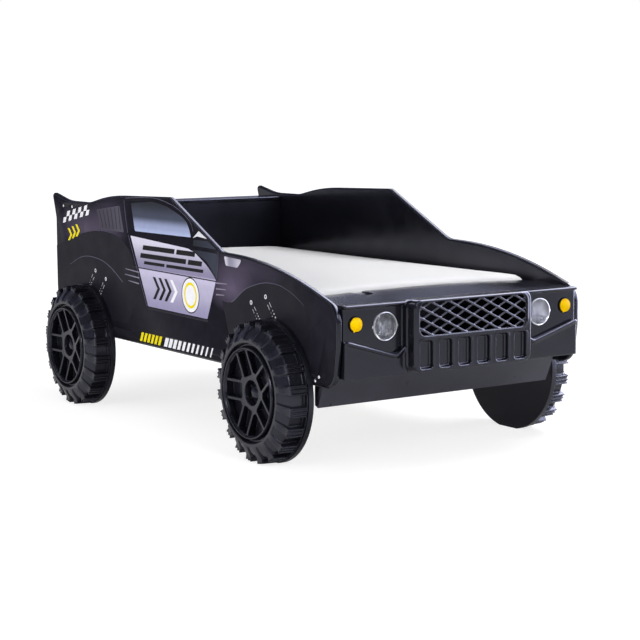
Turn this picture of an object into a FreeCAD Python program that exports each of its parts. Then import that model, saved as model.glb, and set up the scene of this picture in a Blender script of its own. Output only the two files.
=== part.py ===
import FreeCAD
import Part
import math
import os

# Off-road car bed for a child. Millimetres: X forward, Y to the car's left, Z up from the floor.
# The origin lies on the floor, under the middle of the bed.

# Side panels, cut from board to a car's profile
panel_length = 1939.0
panel_thickness = 20.0
panel_edge_round = 7.0
clear_width = 910.0
panel_bottom = 266.0
roof_height = 799.0
roof_rise_drop = 10.5
dip_drop = 43.5
fin_drop = 14.0
fin_root_drop = 114.0
fin_tip_overhang = 26.0
fin_tip_set_in = 7.0
fin_root_inset = 6.0
nose_lip_drop = 6.0
chin_setback = 18.0

# Places along the panels, as shares of their length from the rear edge
fin_slope_share = 0.062
dip_share = 0.155
roof_rise_share = 0.240
roof_front_share = 0.4785
cowl_share = 0.656
hood_share = 0.825

# Heights of the cowl and the hood above the nose, as shares of the roof's, and of the nose's break
cowl_rise_share = 0.425
hood_rise_share = 0.394
nose_break_rise_share = 0.545

# Arcs of the profile's corners, as shares of the shorter run beside each corner
rear_foot_share = 0.073
fin_root_share = 0.093
fin_tip_share = 0.227
fin_slope_round_share = 0.268
dip_round_share = 0.147
roof_rise_round_share = 0.626
roof_front_round_share = 0.02
cowl_round_share = 0.07
hood_round_share = 0.768
nose_share = 0.418
nose_break_share = 0.179
chin_share = 0.356

# Rear shelf and the boards between the panels
board_thickness = 18.0
board_bottom = 300.0
shelf_thickness = 16.0
shelf_drop = 58.0
shelf_rear_inset = 30.0
shelf_depth = 135.0
rear_panel_setback = 2.0
foot_board_inset = 186.0
foot_board_fit = 0.2
skid_bottom_inset = 136.0
skid_drop = 104.5
skid_lean_degrees = 24.0
skid_width = 180.0
cleat_height = 122.0
cleat_length = 45.0

# Bed base and mattress
slat_count = 13
slat_width = 70.0
slat_thickness = 14.0
slat_edge_round = 3.0
slat_end_gap = 5.0
slat_end_margin = 25.0
slat_top = 424.0
ledge_width = 32.0
ledge_height = 45.0
ledge_end_gap = 1.0
mattress_rest_gap = 0.3
mattress_side_gap = 4.0
mattress_end_gap = 4.0
mattress_thickness = 117.0
mattress_crown = 11.0
mattress_edge_reach = 24.0
mattress_drawn_in = 5.0
mattress_end_round = 22.0
mattress_round_shares = (0.0, 0.12, 0.4, 1.0)

# Front bumper, a thin moulded shell, with its other heights set from its lip
wall = 4.0
bumper_side_gap = 0.5
lip_height = 518.0
lip_crown = 0.5
lip_thickness = 10.0
lip_proud = 14.0
lip_depth = 22.0
lip_round = 4.0
bumper_top_rise = 6.0
bumper_top_crown = 10.0
bumper_depth = 219.5
cheek_gap = 10.8
block_proud = 11.0
block_outer_drop = 110.0
block_inner_drop = 164.0
block_root_drop = 142.0
block_knee_margin = 39.0
bead_radius = 5.0
bead_turn_share = 0.6

# Grille plate of the bumper
plate_proud = 51.0
plate_step_proud = 20.0
plate_step_margin = 9.0
plate_draft = 6.0
plate_width_share = 0.5033
plate_rise = 5.0
plate_foot_rise = 4.5
plate_corner_radius = 26.0
plate_edge_chamfer = 3.5
mesh_side_border = 20.0
mesh_top_border = 9.0
mesh_height = 100.0
mesh_corner_radius = 22.0
slot_count = 6
slot_side_border = 22.0
slot_width = 46.0
slot_gap = 16.0
slot_foot_border = 11.0
slot_depth = 14.0
slot_corner_radius = 9.0

# Grille mesh: two layers of diagonal bars in a flat frame
mesh_bar_width = 7.0
mesh_bar_thickness = 3.0
mesh_pitch = 29.5
mesh_lean_degrees = 27.0
mesh_fit = 0.5

# Lamps
headlight_share = 0.3
headlight_drop = 71.0
headlight_radius = 44.0
headlight_rim = 4.0
headlight_bowl_depth = 26.0
headlight_bulge = 13.0
headlight_tab = 7.0
indicator_end_gap = 44.5
indicator_drop = 58.0
indicator_radius = 21.5
indicator_rim = 4.5
indicator_bulge = 9.0
indicator_spigot = 12.0
indicator_tab = 5.0
lens_wall = 3.0
lens_round_shares = (1.0, 0.85, 0.55, 0.0)
lamp_fit = 0.3
flange_thickness = 2.0
flange_overlap = 2.0

# Wheels, fixed to the panels and flat where they stand
rear_axle_inset = 271.0
front_axle_setback = 352.0
axle_height = 222.0
disc_radius = 226.5
disc_thickness = 18.0
tyre_flange_setback = 4.5
tyre_flange_thickness = 3.0
tyre_wall = 5.0
tread_setback = 21.5
tread_depth = 52.0
shoulder_share = 0.42
shoulder_rise = 16.0
sidewall_rise = 8.0
bead_height = 3.0
bead_width = 11.0
lug_count = 20
lug_height = 19.0
lug_taper = 2.0
lug_overhang = 7.0
lug_root = 9.0
rib_count = 3
rib_width = 5.0
rib_gap = 8.0
rib_gap_share = 0.65
block_rise = 4.5
block_inner_width = 22.0
block_outer_width = 31.0
block_lean_degrees = 10.0

# Rims, with their radii taken inwards and their depths from the tyre's bead
rim_radius = 153.0
rim_fit = 0.5
rim_channel_width = 4.0
rim_channel_depth = 14.0
rim_wall_setback = 6.0
rim_crest_setback = 11.0
rim_crest_width = 4.0
rim_crest_rise = 4.0
rim_face_setback = 17.0
rim_face_drop = 7.0
rim_dish = 11.0
node_count = 5
spoke_width = 9.5
slot_half = 24.0
slot_inner_radius = 54.0
wedge_inner_radius = 68.0
window_setback = 18.0
window_corner_radius = 6.0
window_depth = 28.0
hub_radius = 47.0
hub_wall = 7.0
hub_well_draft = 5.0
hub_well_depth = 24.0
hub_cap_radius = 22.0
hub_cap_height = 21.0
hub_cap_skirt_share = 0.4
hub_nut_count = 5
hub_nut_radius = 4.5
hub_nut_share = 0.75
hub_nut_height = 9.0

# Screws, bolts and brackets
screw_head_radius = 5.0
screw_head_height = 3.0
screw_shank_radius = 3.0
screw_length = 50.0
screw_fit = 0.1
shelf_screw_spacing = 75.0
shelf_screw_shift = 18.0
skid_screw_spacing = 24.0
skid_screw_rise = 95.5
skid_screw_setback = 15.5
skid_screw_lean_degrees = 34.0
bolt_head_radius = 7.0
bolt_head_height = 5.0
bolt_spacing = 80.0
bolt_count = 3
bracket_leg = 40.0
bracket_width = 22.0
bracket_thickness = 2.5
bracket_rises = (30.0, 95.0)
slat_screw_head_radius = 4.0
slat_screw_head_height = 2.0
slat_screw_length = 30.0
overrun = 5.0

# Derived places of the bed
overall_length = fin_tip_overhang - fin_tip_set_in + panel_length + plate_proud
rear_edge = fin_tip_overhang - fin_tip_set_in - overall_length / 2
front_edge = rear_edge + panel_length
inner_face = clear_width / 2
outer_face = inner_face + panel_thickness
disc_face = outer_face + disc_thickness
skid_lean = math.radians(skid_lean_degrees)
shelf_top = roof_height - shelf_drop
shelf_front = rear_edge + shelf_rear_inset + shelf_depth
rear_panel_front = shelf_front - rear_panel_setback
foot_board_rear = front_edge - foot_board_inset - board_thickness
slat_bottom = slat_top - slat_thickness
ledge_bottom = slat_bottom - ledge_height
bolt_height = (panel_bottom + ledge_bottom) / 2

# Derived places of the bumper and its lamps
bumper_half = inner_face - bumper_side_gap
bumper_top_front = front_edge + lip_proud - lip_depth
bumper_bottom = lip_height - bumper_depth
skid_bottom_height = bumper_bottom - skid_drop
bumper_top_rear_height = lip_height + bumper_top_rise
block_outer_height = lip_height - block_outer_drop
block_inner_height = lip_height - block_inner_drop
block_root_height = lip_height - block_root_drop
plate_half_width = inner_face * plate_width_share
plate_edge = plate_half_width + plate_step_margin
block_inner_half = plate_half_width + block_knee_margin
cheek_depth = skid_bottom_inset - skid_width * math.sin(skid_lean) - cheek_gap
plate_bottom = bumper_bottom + plate_foot_rise
plate_top = lip_height + plate_rise
mesh_half_width = plate_half_width - mesh_side_border
mesh_top = plate_top - mesh_top_border
mesh_bottom = mesh_top - mesh_height
mesh_frame_width = mesh_top_border - wall - mesh_fit
slot_top = mesh_bottom - slot_gap
slot_bottom = plate_bottom + slot_foot_border
slot_pitch = (2 * (plate_half_width - slot_side_border) - slot_width) / (slot_count - 1)
headlight_half = plate_edge + (bumper_half - plate_edge) * headlight_share
headlight_height = lip_height - headlight_drop
headlight_hole_radius = headlight_radius - headlight_rim
indicator_half = bumper_half - indicator_end_gap
indicator_height = lip_height - indicator_drop
indicator_hole_radius = indicator_radius - indicator_rim

# Derived radii and depths of the wheels
tyre_flange_radius = disc_radius - tyre_flange_setback
tread_radius = disc_radius - tread_setback
lug_radius = tread_radius + lug_height
lug_end_radius = lug_radius - lug_taper
lug_end_depth = tread_depth + lug_overhang
lug_root_radius = tread_radius - lug_root
bead_ring_radius = rim_radius + rim_channel_width
sidewall_radius = bead_ring_radius + bead_width
shoulder_radius = sidewall_radius + (tread_radius - sidewall_radius) * shoulder_share
shoulder_depth = tread_depth + shoulder_rise
sidewall_depth = shoulder_depth + sidewall_rise
bead_ring_depth = sidewall_depth + bead_height
channel_floor_depth = bead_ring_depth - rim_channel_depth
rim_crest_depth = bead_ring_depth + rim_crest_rise
rim_face_depth = rim_crest_depth - rim_face_drop
rim_hub_depth = rim_face_depth - rim_dish
window_outer_radius = rim_radius - window_setback
hub_well_radius = hub_radius - hub_wall
hub_nut_circle = hub_well_radius * hub_nut_share
axle_places = {"front": front_edge - front_axle_setback, "rear": rear_edge + rear_axle_inset}
sides = {"right": -1, "left": 1}
origin = FreeCAD.Vector(0, 0, 0)
along_x = FreeCAD.Vector(1, 0, 0)
along_y = FreeCAD.Vector(0, 1, 0)
along_z = FreeCAD.Vector(0, 0, 1)
nodes = {}


def in_xz(a, b):
    """A point of a side view: a along X, b along Z."""
    return FreeCAD.Vector(a, 0, b)


def in_yz(a, b):
    """A point of a front view: a along Y, b along Z."""
    return FreeCAD.Vector(0, a, b)


def in_xy(a, b):
    """A point of a plan view: a along X, b along Y."""
    return FreeCAD.Vector(a, b, 0)


def corner_arc(before, corner, after, reach):
    """Start, middle and end of the tangent arc that takes up a reach of both runs at a corner."""
    first = (before - corner).normalize()
    last = (after - corner).normalize()
    half_angle = first.getAngle(last) / 2
    radius = reach * math.tan(half_angle)
    bisector = (first + last).normalize()
    middle = corner + bisector * (radius / math.sin(half_angle) - radius)
    return corner + first * reach, middle, corner + last * reach


def rounded_wire(corners, place):
    """Closed outline of straight runs with a tangent arc of its own reach along the runs at each corner."""
    arcs = []
    edges = []
    count = len(corners)
    points = [place(a, b) for a, b, reach in corners]
    for index, (a, b, reach) in enumerate(corners):
        arcs.append(corner_arc(points[index - 1], points[index], points[(index + 1) % count], reach))
    for index, (first, middle, last) in enumerate(arcs):
        if corners[index][2] > 0:
            edges.append(Part.Arc(first, middle, last).toShape())
        following = arcs[(index + 1) % count][0]
        if last.distanceToPoint(following) > FreeCAD.Base.Precision.confusion():
            edges.append(Part.makeLine(last, following))
    return Part.Wire(edges)


def rectangle(a_low, a_high, b_low, b_high, radius, place):
    """Rounded rectangle."""
    corners = [(a_low, b_low, radius), (a_high, b_low, radius),
               (a_high, b_high, radius), (a_low, b_high, radius)]
    return rounded_wire(corners, place)


def prism(wire, direction):
    """Flat outline pulled along a direction."""
    return Part.Face(wire).extrude(direction)


def box(x_low, x_high, y_low, y_high, z_low, z_high):
    """Block between two corners."""
    return Part.makeBox(x_high - x_low, y_high - y_low, z_high - z_low, FreeCAD.Vector(x_low, y_low, z_low))


def turned(profile, place, axis):
    """Profile turned full circle about an axis through the origin."""
    points = [place(a, b) for a, b in profile]
    return Part.Face(Part.makePolygon(points + points[:1])).revolve(origin, axis, math.degrees(2 * math.pi))


def moved(shape, x, y, z):
    """Copy of a shape set at a place."""
    copy = shape.copy()
    copy.translate(FreeCAD.Vector(x, y, z))
    return copy


def for_side(shape, side):
    """Shape made for the right side, mirrored for the left."""
    if side < 0:
        return shape.copy()
    return shape.mirror(origin, along_y)


def screw(head_radius, head_height, shank_radius, length, fit):
    """Countersunk screw along +Y with its head face at the origin, grown by a fit for its hole."""
    profile = [(0, 0), (head_radius + fit, 0), (shank_radius + fit, head_height + fit),
               (shank_radius + fit, length + fit), (0, length + fit)]
    return turned(profile, in_xy, along_y)


def skid_point(distance, depth):
    """Point of the skid board's side view: distance up the board, depth behind its front face."""
    x = front_edge - skid_bottom_inset + distance * math.sin(skid_lean) - depth * math.cos(skid_lean)
    z = skid_bottom_height + distance * math.cos(skid_lean) + depth * math.sin(skid_lean)
    return x, z


def side_screw_places():
    """Side-view places of the screws that hold the shelf and the skid board, by node."""
    shelf_middle = shelf_front - shelf_depth / 2 + shelf_screw_shift
    shelf_z = shelf_top - shelf_thickness / 2
    shelf = [(shelf_middle + step * shelf_screw_spacing / 2, shelf_z) for step in (-1, 1)]
    skid_x = front_edge - skid_bottom_inset + skid_screw_rise * math.tan(skid_lean) - skid_screw_setback
    skid_z = skid_bottom_height + skid_screw_rise
    across = math.cos(math.radians(skid_screw_lean_degrees)) * skid_screw_spacing / 2
    up = math.sin(math.radians(skid_screw_lean_degrees)) * skid_screw_spacing / 2
    skid = [(skid_x + step * across, skid_z + step * up) for step in (-1, 1)]
    return {"shelf_screws": shelf, "skid_screws": skid}


def side_screws(name, fit):
    """Screws through both panels into the ends of one board."""
    shapes = []
    for side in sides.values():
        for x, z in side_screw_places()[name]:
            one = screw(screw_head_radius, screw_head_height, screw_shank_radius, screw_length, fit)
            shapes.append(moved(for_side(moved(one, 0, -outer_face, 0), side), x, 0, z))
    return shapes


def wheel_bolts(fit):
    """Bolts that hold the wheels, with round heads on the panels' inner faces."""
    head = Part.makeCylinder(bolt_head_radius, bolt_head_height, FreeCAD.Vector(0, -inner_face, 0), along_y)
    reach = panel_thickness + disc_thickness - wall
    foot = FreeCAD.Vector(0, -inner_face - reach, 0)
    shank = Part.makeCylinder(screw_shank_radius + fit, reach, foot, along_y)
    one = head.fuse(shank)
    shapes = []
    for side in sides.values():
        for axle in axle_places.values():
            for index in range(bolt_count):
                x = axle + (index - (bolt_count - 1) / 2) * bolt_spacing
                shapes.append(moved(for_side(one, side), x, 0, bolt_height))
    return shapes


def eased_corners(corners):
    """Corners whose arcs take up a share of the shorter run beside each."""
    eased = []
    for index, (a, b, share) in enumerate(corners):
        corner = in_xy(a, b)
        before = in_xy(*corners[index - 1][:2]) - corner
        after = in_xy(*corners[(index + 1) % len(corners)][:2]) - corner
        eased.append((a, b, share * min(before.Length, after.Length)))
    return eased


def panel_outline():
    """Car profile: fin, dip, roof, windscreen, hood, rounded nose and chin."""
    def at(share):
        return rear_edge + share * panel_length

    nose_height = lip_height - nose_lip_drop
    roof_rise = roof_height - nose_height
    nose_break_height = panel_bottom + (nose_height - panel_bottom) * nose_break_rise_share
    corners = [
        (rear_edge, panel_bottom, rear_foot_share),
        (rear_edge + fin_root_inset, roof_height - fin_root_drop, fin_root_share),
        (rear_edge - fin_tip_overhang, roof_height - fin_drop, fin_tip_share),
        (at(fin_slope_share), roof_height - dip_drop, fin_slope_round_share),
        (at(dip_share), roof_height - dip_drop, dip_round_share),
        (at(roof_rise_share), roof_height - roof_rise_drop, roof_rise_round_share),
        (at(roof_front_share), roof_height, roof_front_round_share),
        (at(cowl_share), nose_height + roof_rise * cowl_rise_share, cowl_round_share),
        (at(hood_share), nose_height + roof_rise * hood_rise_share, hood_round_share),
        (front_edge, nose_height, nose_share),
        (front_edge, nose_break_height, nose_break_share),
        (front_edge - chin_setback, panel_bottom, chin_share),
    ]
    return rounded_wire(eased_corners(corners), in_xz)


def build_panels():
    """The two side panels with rounded edges, drilled for the screws and bolts."""
    board = prism(panel_outline(), along_y * panel_thickness)
    rims = [edge for edge in board.Edges if edge.BoundBox.YLength < panel_edge_round]
    board = board.makeFillet(panel_edge_round, rims)
    holes = side_screws("shelf_screws", screw_fit) + side_screws("skid_screws", screw_fit)
    holes += wheel_bolts(screw_fit)
    for name, side in sides.items():
        place = -outer_face if side < 0 else inner_face
        nodes[name + "_side_panel"] = moved(board, 0, place, 0).cut(holes)


def bumper_top_arc(x, drop):
    """Arc across the bumper's top, or a drop below it: crowned behind and straight at the lip."""
    share = (x - foot_board_rear) / (bumper_top_front - foot_board_rear)
    crown = bumper_top_crown + share * (lip_crown - bumper_top_crown)
    high = bumper_top_rear_height + share * (lip_height - lip_crown - bumper_top_rear_height) - drop
    return Part.Arc(FreeCAD.Vector(x, -bumper_half, high), FreeCAD.Vector(x, 0, high + crown),
                    FreeCAD.Vector(x, bumper_half, high)).toShape()


def foot_section(x):
    """Cross-section of the foot board, up to the underside of the bumper's top."""
    arc = bumper_top_arc(x, wall + foot_board_fit)
    low_right = FreeCAD.Vector(x, -bumper_half, board_bottom)
    low_left = FreeCAD.Vector(x, bumper_half, board_bottom)
    right = Part.makeLine(low_right, arc.firstVertex().Point)
    left = Part.makeLine(arc.lastVertex().Point, low_left)
    return Part.Wire([right, arc, left, Part.makeLine(low_left, low_right)])


def build_boards():
    """Rear shelf, rear panel, foot board, and the leaning skid board with a wedge behind each end."""
    shelf = box(shelf_front - shelf_depth, shelf_front, -inner_face, inner_face,
                shelf_top - shelf_thickness, shelf_top)
    nodes["rear_shelf"] = shelf.cut(side_screws("shelf_screws", screw_fit))
    nodes["rear_panel"] = box(rear_panel_front - board_thickness, rear_panel_front, -inner_face, inner_face,
                              board_bottom, shelf_top - shelf_thickness)
    foot_ends = (foot_board_rear, foot_board_rear + board_thickness)
    nodes["foot_board"] = Part.makeLoft([foot_section(x) for x in foot_ends], True, True)
    corners = [skid_point(0, 0), skid_point(skid_width, 0), skid_point(skid_width, board_thickness),
               skid_point(0, board_thickness)]
    outline = rounded_wire([(x, z, 0) for x, z in corners], in_xz)
    skid = moved(prism(outline, along_y * clear_width), 0, -inner_face, 0)
    nodes["skid_board"] = skid.cut(side_screws("skid_screws", screw_fit))
    heel = skid_point(0, board_thickness)
    crown = skid_point(cleat_height / math.cos(skid_lean), board_thickness)
    wedge = rounded_wire([(*heel, 0), (*crown, 0), (heel[0], crown[1], 0)], in_xz)
    cleat = moved(prism(wedge, along_y * cleat_length), 0, -inner_face, 0)
    for name, side in sides.items():
        nodes["skid_cleat_" + name] = for_side(cleat, side).cut(side_screws("skid_screws", screw_fit))


def slat_places():
    """Middle of each slat along X, spread evenly between the rear panel and the foot board."""
    first = rear_panel_front + slat_end_margin + slat_width / 2
    last = foot_board_rear - slat_end_margin - slat_width / 2
    return [first + (last - first) * index / (slat_count - 1) for index in range(slat_count)]


def slat_screws(fit):
    """One screw at each slat end, down into the ledge."""
    one = screw(slat_screw_head_radius, slat_screw_head_height, screw_shank_radius, slat_screw_length, fit)
    one.rotate(origin, along_x, -math.degrees(math.pi / 2))
    shapes = []
    for x in slat_places():
        for side in sides.values():
            shapes.append(moved(one, x, side * (inner_face - ledge_width / 2), slat_top))
    return shapes


def build_base():
    """Ledges along the panels and the slats across them."""
    holes = slat_screws(screw_fit)
    for name, side in sides.items():
        low, high = sorted((side * inner_face, side * (inner_face - ledge_width)))
        ledge = box(rear_panel_front + ledge_end_gap, foot_board_rear - ledge_end_gap, low, high,
                    ledge_bottom, slat_bottom)
        nodes[name + "_ledge"] = ledge.cut(holes)
    reach = inner_face - slat_end_gap
    outline = rectangle(-slat_width / 2, slat_width / 2, slat_bottom, slat_top, slat_edge_round, in_xz)
    slat = moved(prism(outline, along_y * (2 * reach)), 0, -reach, 0)
    for index, x in enumerate(slat_places()):
        nodes["slat_%02d" % (index + 1)] = moved(slat, x, 0, 0).cut(holes[2 * index:2 * index + 2])


def mattress_section(x, drawn_in, sunk):
    """Cross-section of the mattress: flat below, round at the sides, crowned above."""
    half = inner_face - mattress_side_gap - drawn_in
    low = slat_top + mattress_rest_gap
    high = low + mattress_thickness - sunk
    crown = mattress_crown * (1 - sunk / mattress_thickness)
    flat = half - mattress_edge_reach
    waist = (low + high) / 2
    places = [(-flat, low), (flat, low), (half, waist), (flat, high), (0, high + crown), (-flat, high),
              (-half, waist)]
    points = [FreeCAD.Vector(x, y, z) for y, z in places]
    below = Part.makeLine(points[0], points[1])
    left_side = Part.Arc(*points[1:4]).toShape()
    top = Part.Arc(*points[3:6]).toShape()
    right_side = Part.Arc(points[5], points[6], points[0]).toShape()
    return Part.Wire([below, left_side, top, right_side])


def build_mattress():
    """Mattress with a crown, drawn-in long sides and ends that round over."""
    rear = rear_panel_front + mattress_end_gap
    front = foot_board_rear - mattress_end_gap
    steps = []
    for share in mattress_round_shares:
        sunk = mattress_end_round * (1 - math.sqrt(1 - (1 - share) ** 2))
        steps.append((share * mattress_end_round, sunk, sunk))
    sections = [mattress_section(rear + along, drawn_in, sunk) for along, drawn_in, sunk in steps]
    sections.append(mattress_section((rear + front) / 2, mattress_drawn_in, 0))
    sections += [mattress_section(front - along, drawn_in, sunk) for along, drawn_in, sunk in reversed(steps)]
    nodes["mattress"] = Part.makeLoft(sections, True, True)


def bumper_top():
    """Top sheet of the bumper, crowned at its rear edge and straight at the lip."""
    def strip(x):
        upper = bumper_top_arc(x, 0)
        lower = bumper_top_arc(x, wall)
        right = Part.makeLine(lower.firstVertex().Point, upper.firstVertex().Point)
        left = Part.makeLine(upper.lastVertex().Point, lower.lastVertex().Point)
        return Part.Wire([right, upper, left, lower])

    return Part.makeLoft([strip(foot_board_rear), strip(bumper_top_front)], True, True)


def block_outline(side, inset):
    """Front view of a lower block: its upper edge falls towards the grille and curls up beside it."""
    outer = bumper_half - inset
    root = plate_half_width - inset
    corners = [(outer, bumper_bottom + inset, 0), (outer, block_outer_height - inset, 0),
               (block_inner_half, block_inner_height - inset, bead_turn_share),
               (root, block_root_height - inset, 0), (root, bumper_bottom + inset, 0)]
    return rounded_wire(eased_corners([(side * y, z, share) for y, z, share in corners]), in_yz)


def plate_loft(sections):
    """Raised grille plate or its hollow, through sections of a place along X, a side growth and an inset."""
    wires = []
    for x, grow, inset in sections:
        half = plate_half_width + grow - inset
        wire = rectangle(-half, half, plate_bottom + inset, plate_top - inset,
                         plate_corner_radius - inset, in_yz)
        wire.translate(along_x * x)
        wires.append(wire)
    return Part.makeLoft(wires, True, True)


def slot_outline(index, grow):
    """Front view of one upright slot of the grille plate."""
    y = (index - (slot_count - 1) / 2) * slot_pitch
    return rectangle(y - slot_width / 2 - grow, y + slot_width / 2 + grow, slot_bottom - grow,
                     slot_top + grow, slot_corner_radius + grow, in_yz)


def mesh_outline(grow):
    """Front view of the mesh window."""
    return rectangle(-mesh_half_width - grow, mesh_half_width + grow, mesh_bottom - grow, mesh_top + grow,
                     mesh_corner_radius + grow, in_yz)


def along(wire, x_low, x_high):
    """Block of a front view between two places along X."""
    return moved(prism(wire, along_x * (x_high - x_low)), x_low, 0, 0)


def chamfer(outline):
    """Cutter that slopes the front edge of an opening in the grille plate."""
    front = front_edge + plate_proud
    wires = [outline(0), outline(plate_edge_chamfer + overrun)]
    for wire, x in zip(wires, (front - plate_edge_chamfer, front + overrun)):
        wire.translate(along_x * x)
    return Part.makeLoft(wires, True, True)


def bead(side):
    """Rounded bead along the upper edge of a lower block, with a soft turn where it curls up."""
    x = front_edge + block_proud
    outer = FreeCAD.Vector(x, side * (bumper_half - bead_radius), block_outer_height)
    knee = FreeCAD.Vector(x, side * block_inner_half, block_inner_height)
    root = FreeCAD.Vector(x, side * plate_edge, block_root_height)
    reach = bead_turn_share * knee.distanceToPoint(root)
    first, middle, last = corner_arc(outer, knee, root, reach)
    path = Part.Wire([Part.makeLine(outer, first), Part.Arc(first, middle, last).toShape(),
                      Part.makeLine(last, root)])
    ring = Part.Wire(Part.makeCircle(bead_radius, outer, first - outer))
    return [path.makePipeShell([ring], True, True), Part.makeSphere(bead_radius, outer)]


def lamp_hole(side, half, height, radius):
    """Round hole through the bumper's face."""
    start = FreeCAD.Vector(front_edge - wall - overrun, side * half, height)
    return Part.makeCylinder(radius, wall + 2 * overrun, start, along_x)


def build_bumper():
    """Moulded bumper shell: top, lip, face, lower blocks with beads, and the raised grille plate."""
    half = bumper_half
    face_rear = front_edge - wall
    face_top = lip_height - lip_thickness
    lip = box(bumper_top_front, front_edge + lip_proud, -half, half, face_top, lip_height)
    front_edges = [edge for edge in lip.Edges if abs(edge.BoundBox.XMin - lip.BoundBox.XMax) < lip_round
                   and edge.BoundBox.YLength > half]
    lip = lip.makeFillet(lip_round, front_edges)
    face = box(face_rear, front_edge, -half, half, bumper_bottom, face_top)
    sole_rise = bumper_bottom + wall - skid_bottom_height
    skid_x = front_edge - skid_bottom_inset + sole_rise * math.tan(skid_lean)
    sole = box(skid_x, front_edge, -half, half, bumper_bottom, bumper_bottom + wall)
    shell = bumper_top().fuse([lip, face, sole])
    for low in (-half, half - wall):
        cheek = box(front_edge - cheek_depth, front_edge, low, low + wall, bumper_bottom, face_top)
        shell = shell.fuse(cheek)
    step_x = front_edge + plate_step_proud
    plate_x = front_edge + plate_proud
    for side in sides.values():
        outer = moved(prism(block_outline(side, 0), along_x * (block_proud + wall)), face_rear, 0, 0)
        inner = moved(prism(block_outline(side, wall), along_x * block_proud), face_rear, 0, 0)
        shell = shell.cut(inner).fuse([outer.cut(inner)] + bead(side))
        shell = shell.cut(lamp_hole(side, headlight_half, headlight_height, headlight_hole_radius))
        shell = shell.cut(lamp_hole(side, indicator_half, indicator_height, indicator_hole_radius))
    plate = plate_loft([(face_rear, plate_step_margin, 0), (step_x, plate_step_margin, 0)])
    plate = plate.fuse(plate_loft([(step_x, plate_draft, 0), (plate_x - plate_edge_chamfer, 0, 0),
                                   (plate_x, 0, plate_edge_chamfer)]))
    hollow = plate_loft([(face_rear - wall, 0, wall), (plate_x - wall, 0, wall)])
    cuts = [along(mesh_outline(0), face_rear - overrun, plate_x + overrun), chamfer(mesh_outline)]
    pans = []
    for index in range(slot_count):
        def outline(grow):
            return slot_outline(index, grow)

        cuts += [along(outline(0), plate_x - slot_depth, plate_x + overrun), chamfer(outline)]
        pans.append(along(outline(wall), plate_x - slot_depth - wall, plate_x))
    shell = shell.fuse(plate).cut(hollow.cut(pans)).cut(cuts)
    nodes["bumper_shell"] = shell.removeSplitter()


def build_mesh():
    """Grille mesh behind the window: a flat frame and two layers of crossing diagonal bars."""
    front = front_edge + plate_proud - wall
    rear = front - 2 * mesh_bar_thickness
    frame = along(mesh_outline(mesh_frame_width), rear, front)
    frame = frame.cut(along(mesh_outline(0), rear - overrun, front + overrun))
    field = along(mesh_outline(mesh_frame_width / 2), rear, front)
    span = mesh_half_width + mesh_top - mesh_bottom
    middle = (mesh_top + mesh_bottom) / 2
    lean = math.radians(mesh_lean_degrees)
    step = mesh_pitch / math.sin(lean)
    count = int(span / step)
    bars = []
    for layer, direction in ((1, 1), (2, -1)):
        bar = box(-mesh_bar_thickness, 0, -mesh_bar_width / 2, mesh_bar_width / 2, -span, span)
        bar.rotate(origin, along_x, direction * math.degrees(math.pi / 2 - lean))
        for index in range(-count, count + 1):
            place = moved(bar, front - (layer - 1) * mesh_bar_thickness, index * step, middle)
            bars.append(place)
    lattice = bars[0].multiFuse(bars[1:]).common(field)
    nodes["grille_mesh"] = frame.fuse(lattice).removeSplitter()


def headlight_tabs(fit):
    """Two small tabs at the sides of a headlight lens."""
    reach = headlight_radius + headlight_tab / 2
    return box(0, lens_wall, -reach - fit, reach + fit, -headlight_tab / 2 - fit, headlight_tab / 2 + fit)


def build_lamps():
    """Headlights, each a reflector bowl under a domed lens, and round indicators."""
    bowl_radius = headlight_hole_radius - lamp_fit
    flange_radius = headlight_hole_radius + flange_overlap
    bowl = turned([(0, -headlight_bowl_depth), (bowl_radius / 2, -headlight_bowl_depth), (bowl_radius, -wall),
                   (bowl_radius, 0), (flange_radius, 0), (flange_radius, flange_thickness),
                   (bowl_radius - flange_thickness, flange_thickness),
                   (bowl_radius - flange_thickness, -wall),
                   (bowl_radius / 2, flange_thickness - headlight_bowl_depth),
                   (0, flange_thickness - headlight_bowl_depth)], lambda r, x: in_xz(x, r), along_x)
    skirt = flange_thickness + lamp_fit
    inner_radius = flange_radius + lamp_fit
    outer = [(headlight_radius * share, skirt + headlight_bulge * (1 - share * share))
             for share in lens_round_shares]
    inner = [(inner_radius * share, skirt + (headlight_bulge - lens_wall) * (1 - share * share))
             for share in reversed(lens_round_shares)]
    lens = turned([(headlight_radius, 0)] + outer + inner + [(inner_radius, 0)],
                  lambda r, x: in_xz(x, r), along_x)
    core = Part.makeCylinder(inner_radius + lamp_fit, headlight_bulge, origin, along_x)
    lens = lens.fuse(headlight_tabs(0).cut(core))
    spigot_radius = indicator_hole_radius - lamp_fit
    dome = [(indicator_radius * share, lens_wall + indicator_bulge * (1 - share * share))
            for share in lens_round_shares]
    indicator = turned([(0, -indicator_spigot), (spigot_radius, -indicator_spigot), (spigot_radius, 0),
                        (indicator_radius, 0)] + dome, lambda r, x: in_xz(x, r), along_x)
    tab_low = -indicator_radius - indicator_tab / 2
    indicator = indicator.fuse(box(0, lens_wall, -indicator_tab / 2, indicator_tab / 2, tab_low, 0))
    for name, side in sides.items():
        y = side * headlight_half
        nodes["headlight_reflector_" + name] = moved(bowl, front_edge, y, headlight_height)
        nodes["headlight_lens_" + name] = moved(lens, front_edge, y, headlight_height)
        nodes["indicator_lens_" + name] = moved(indicator, front_edge, side * indicator_half,
                                                indicator_height)


def wheel_point(radius, turn):
    """Point of the wheel's face at a radius and an angle from straight ahead."""
    return radius * math.cos(turn), radius * math.sin(turn)


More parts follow.
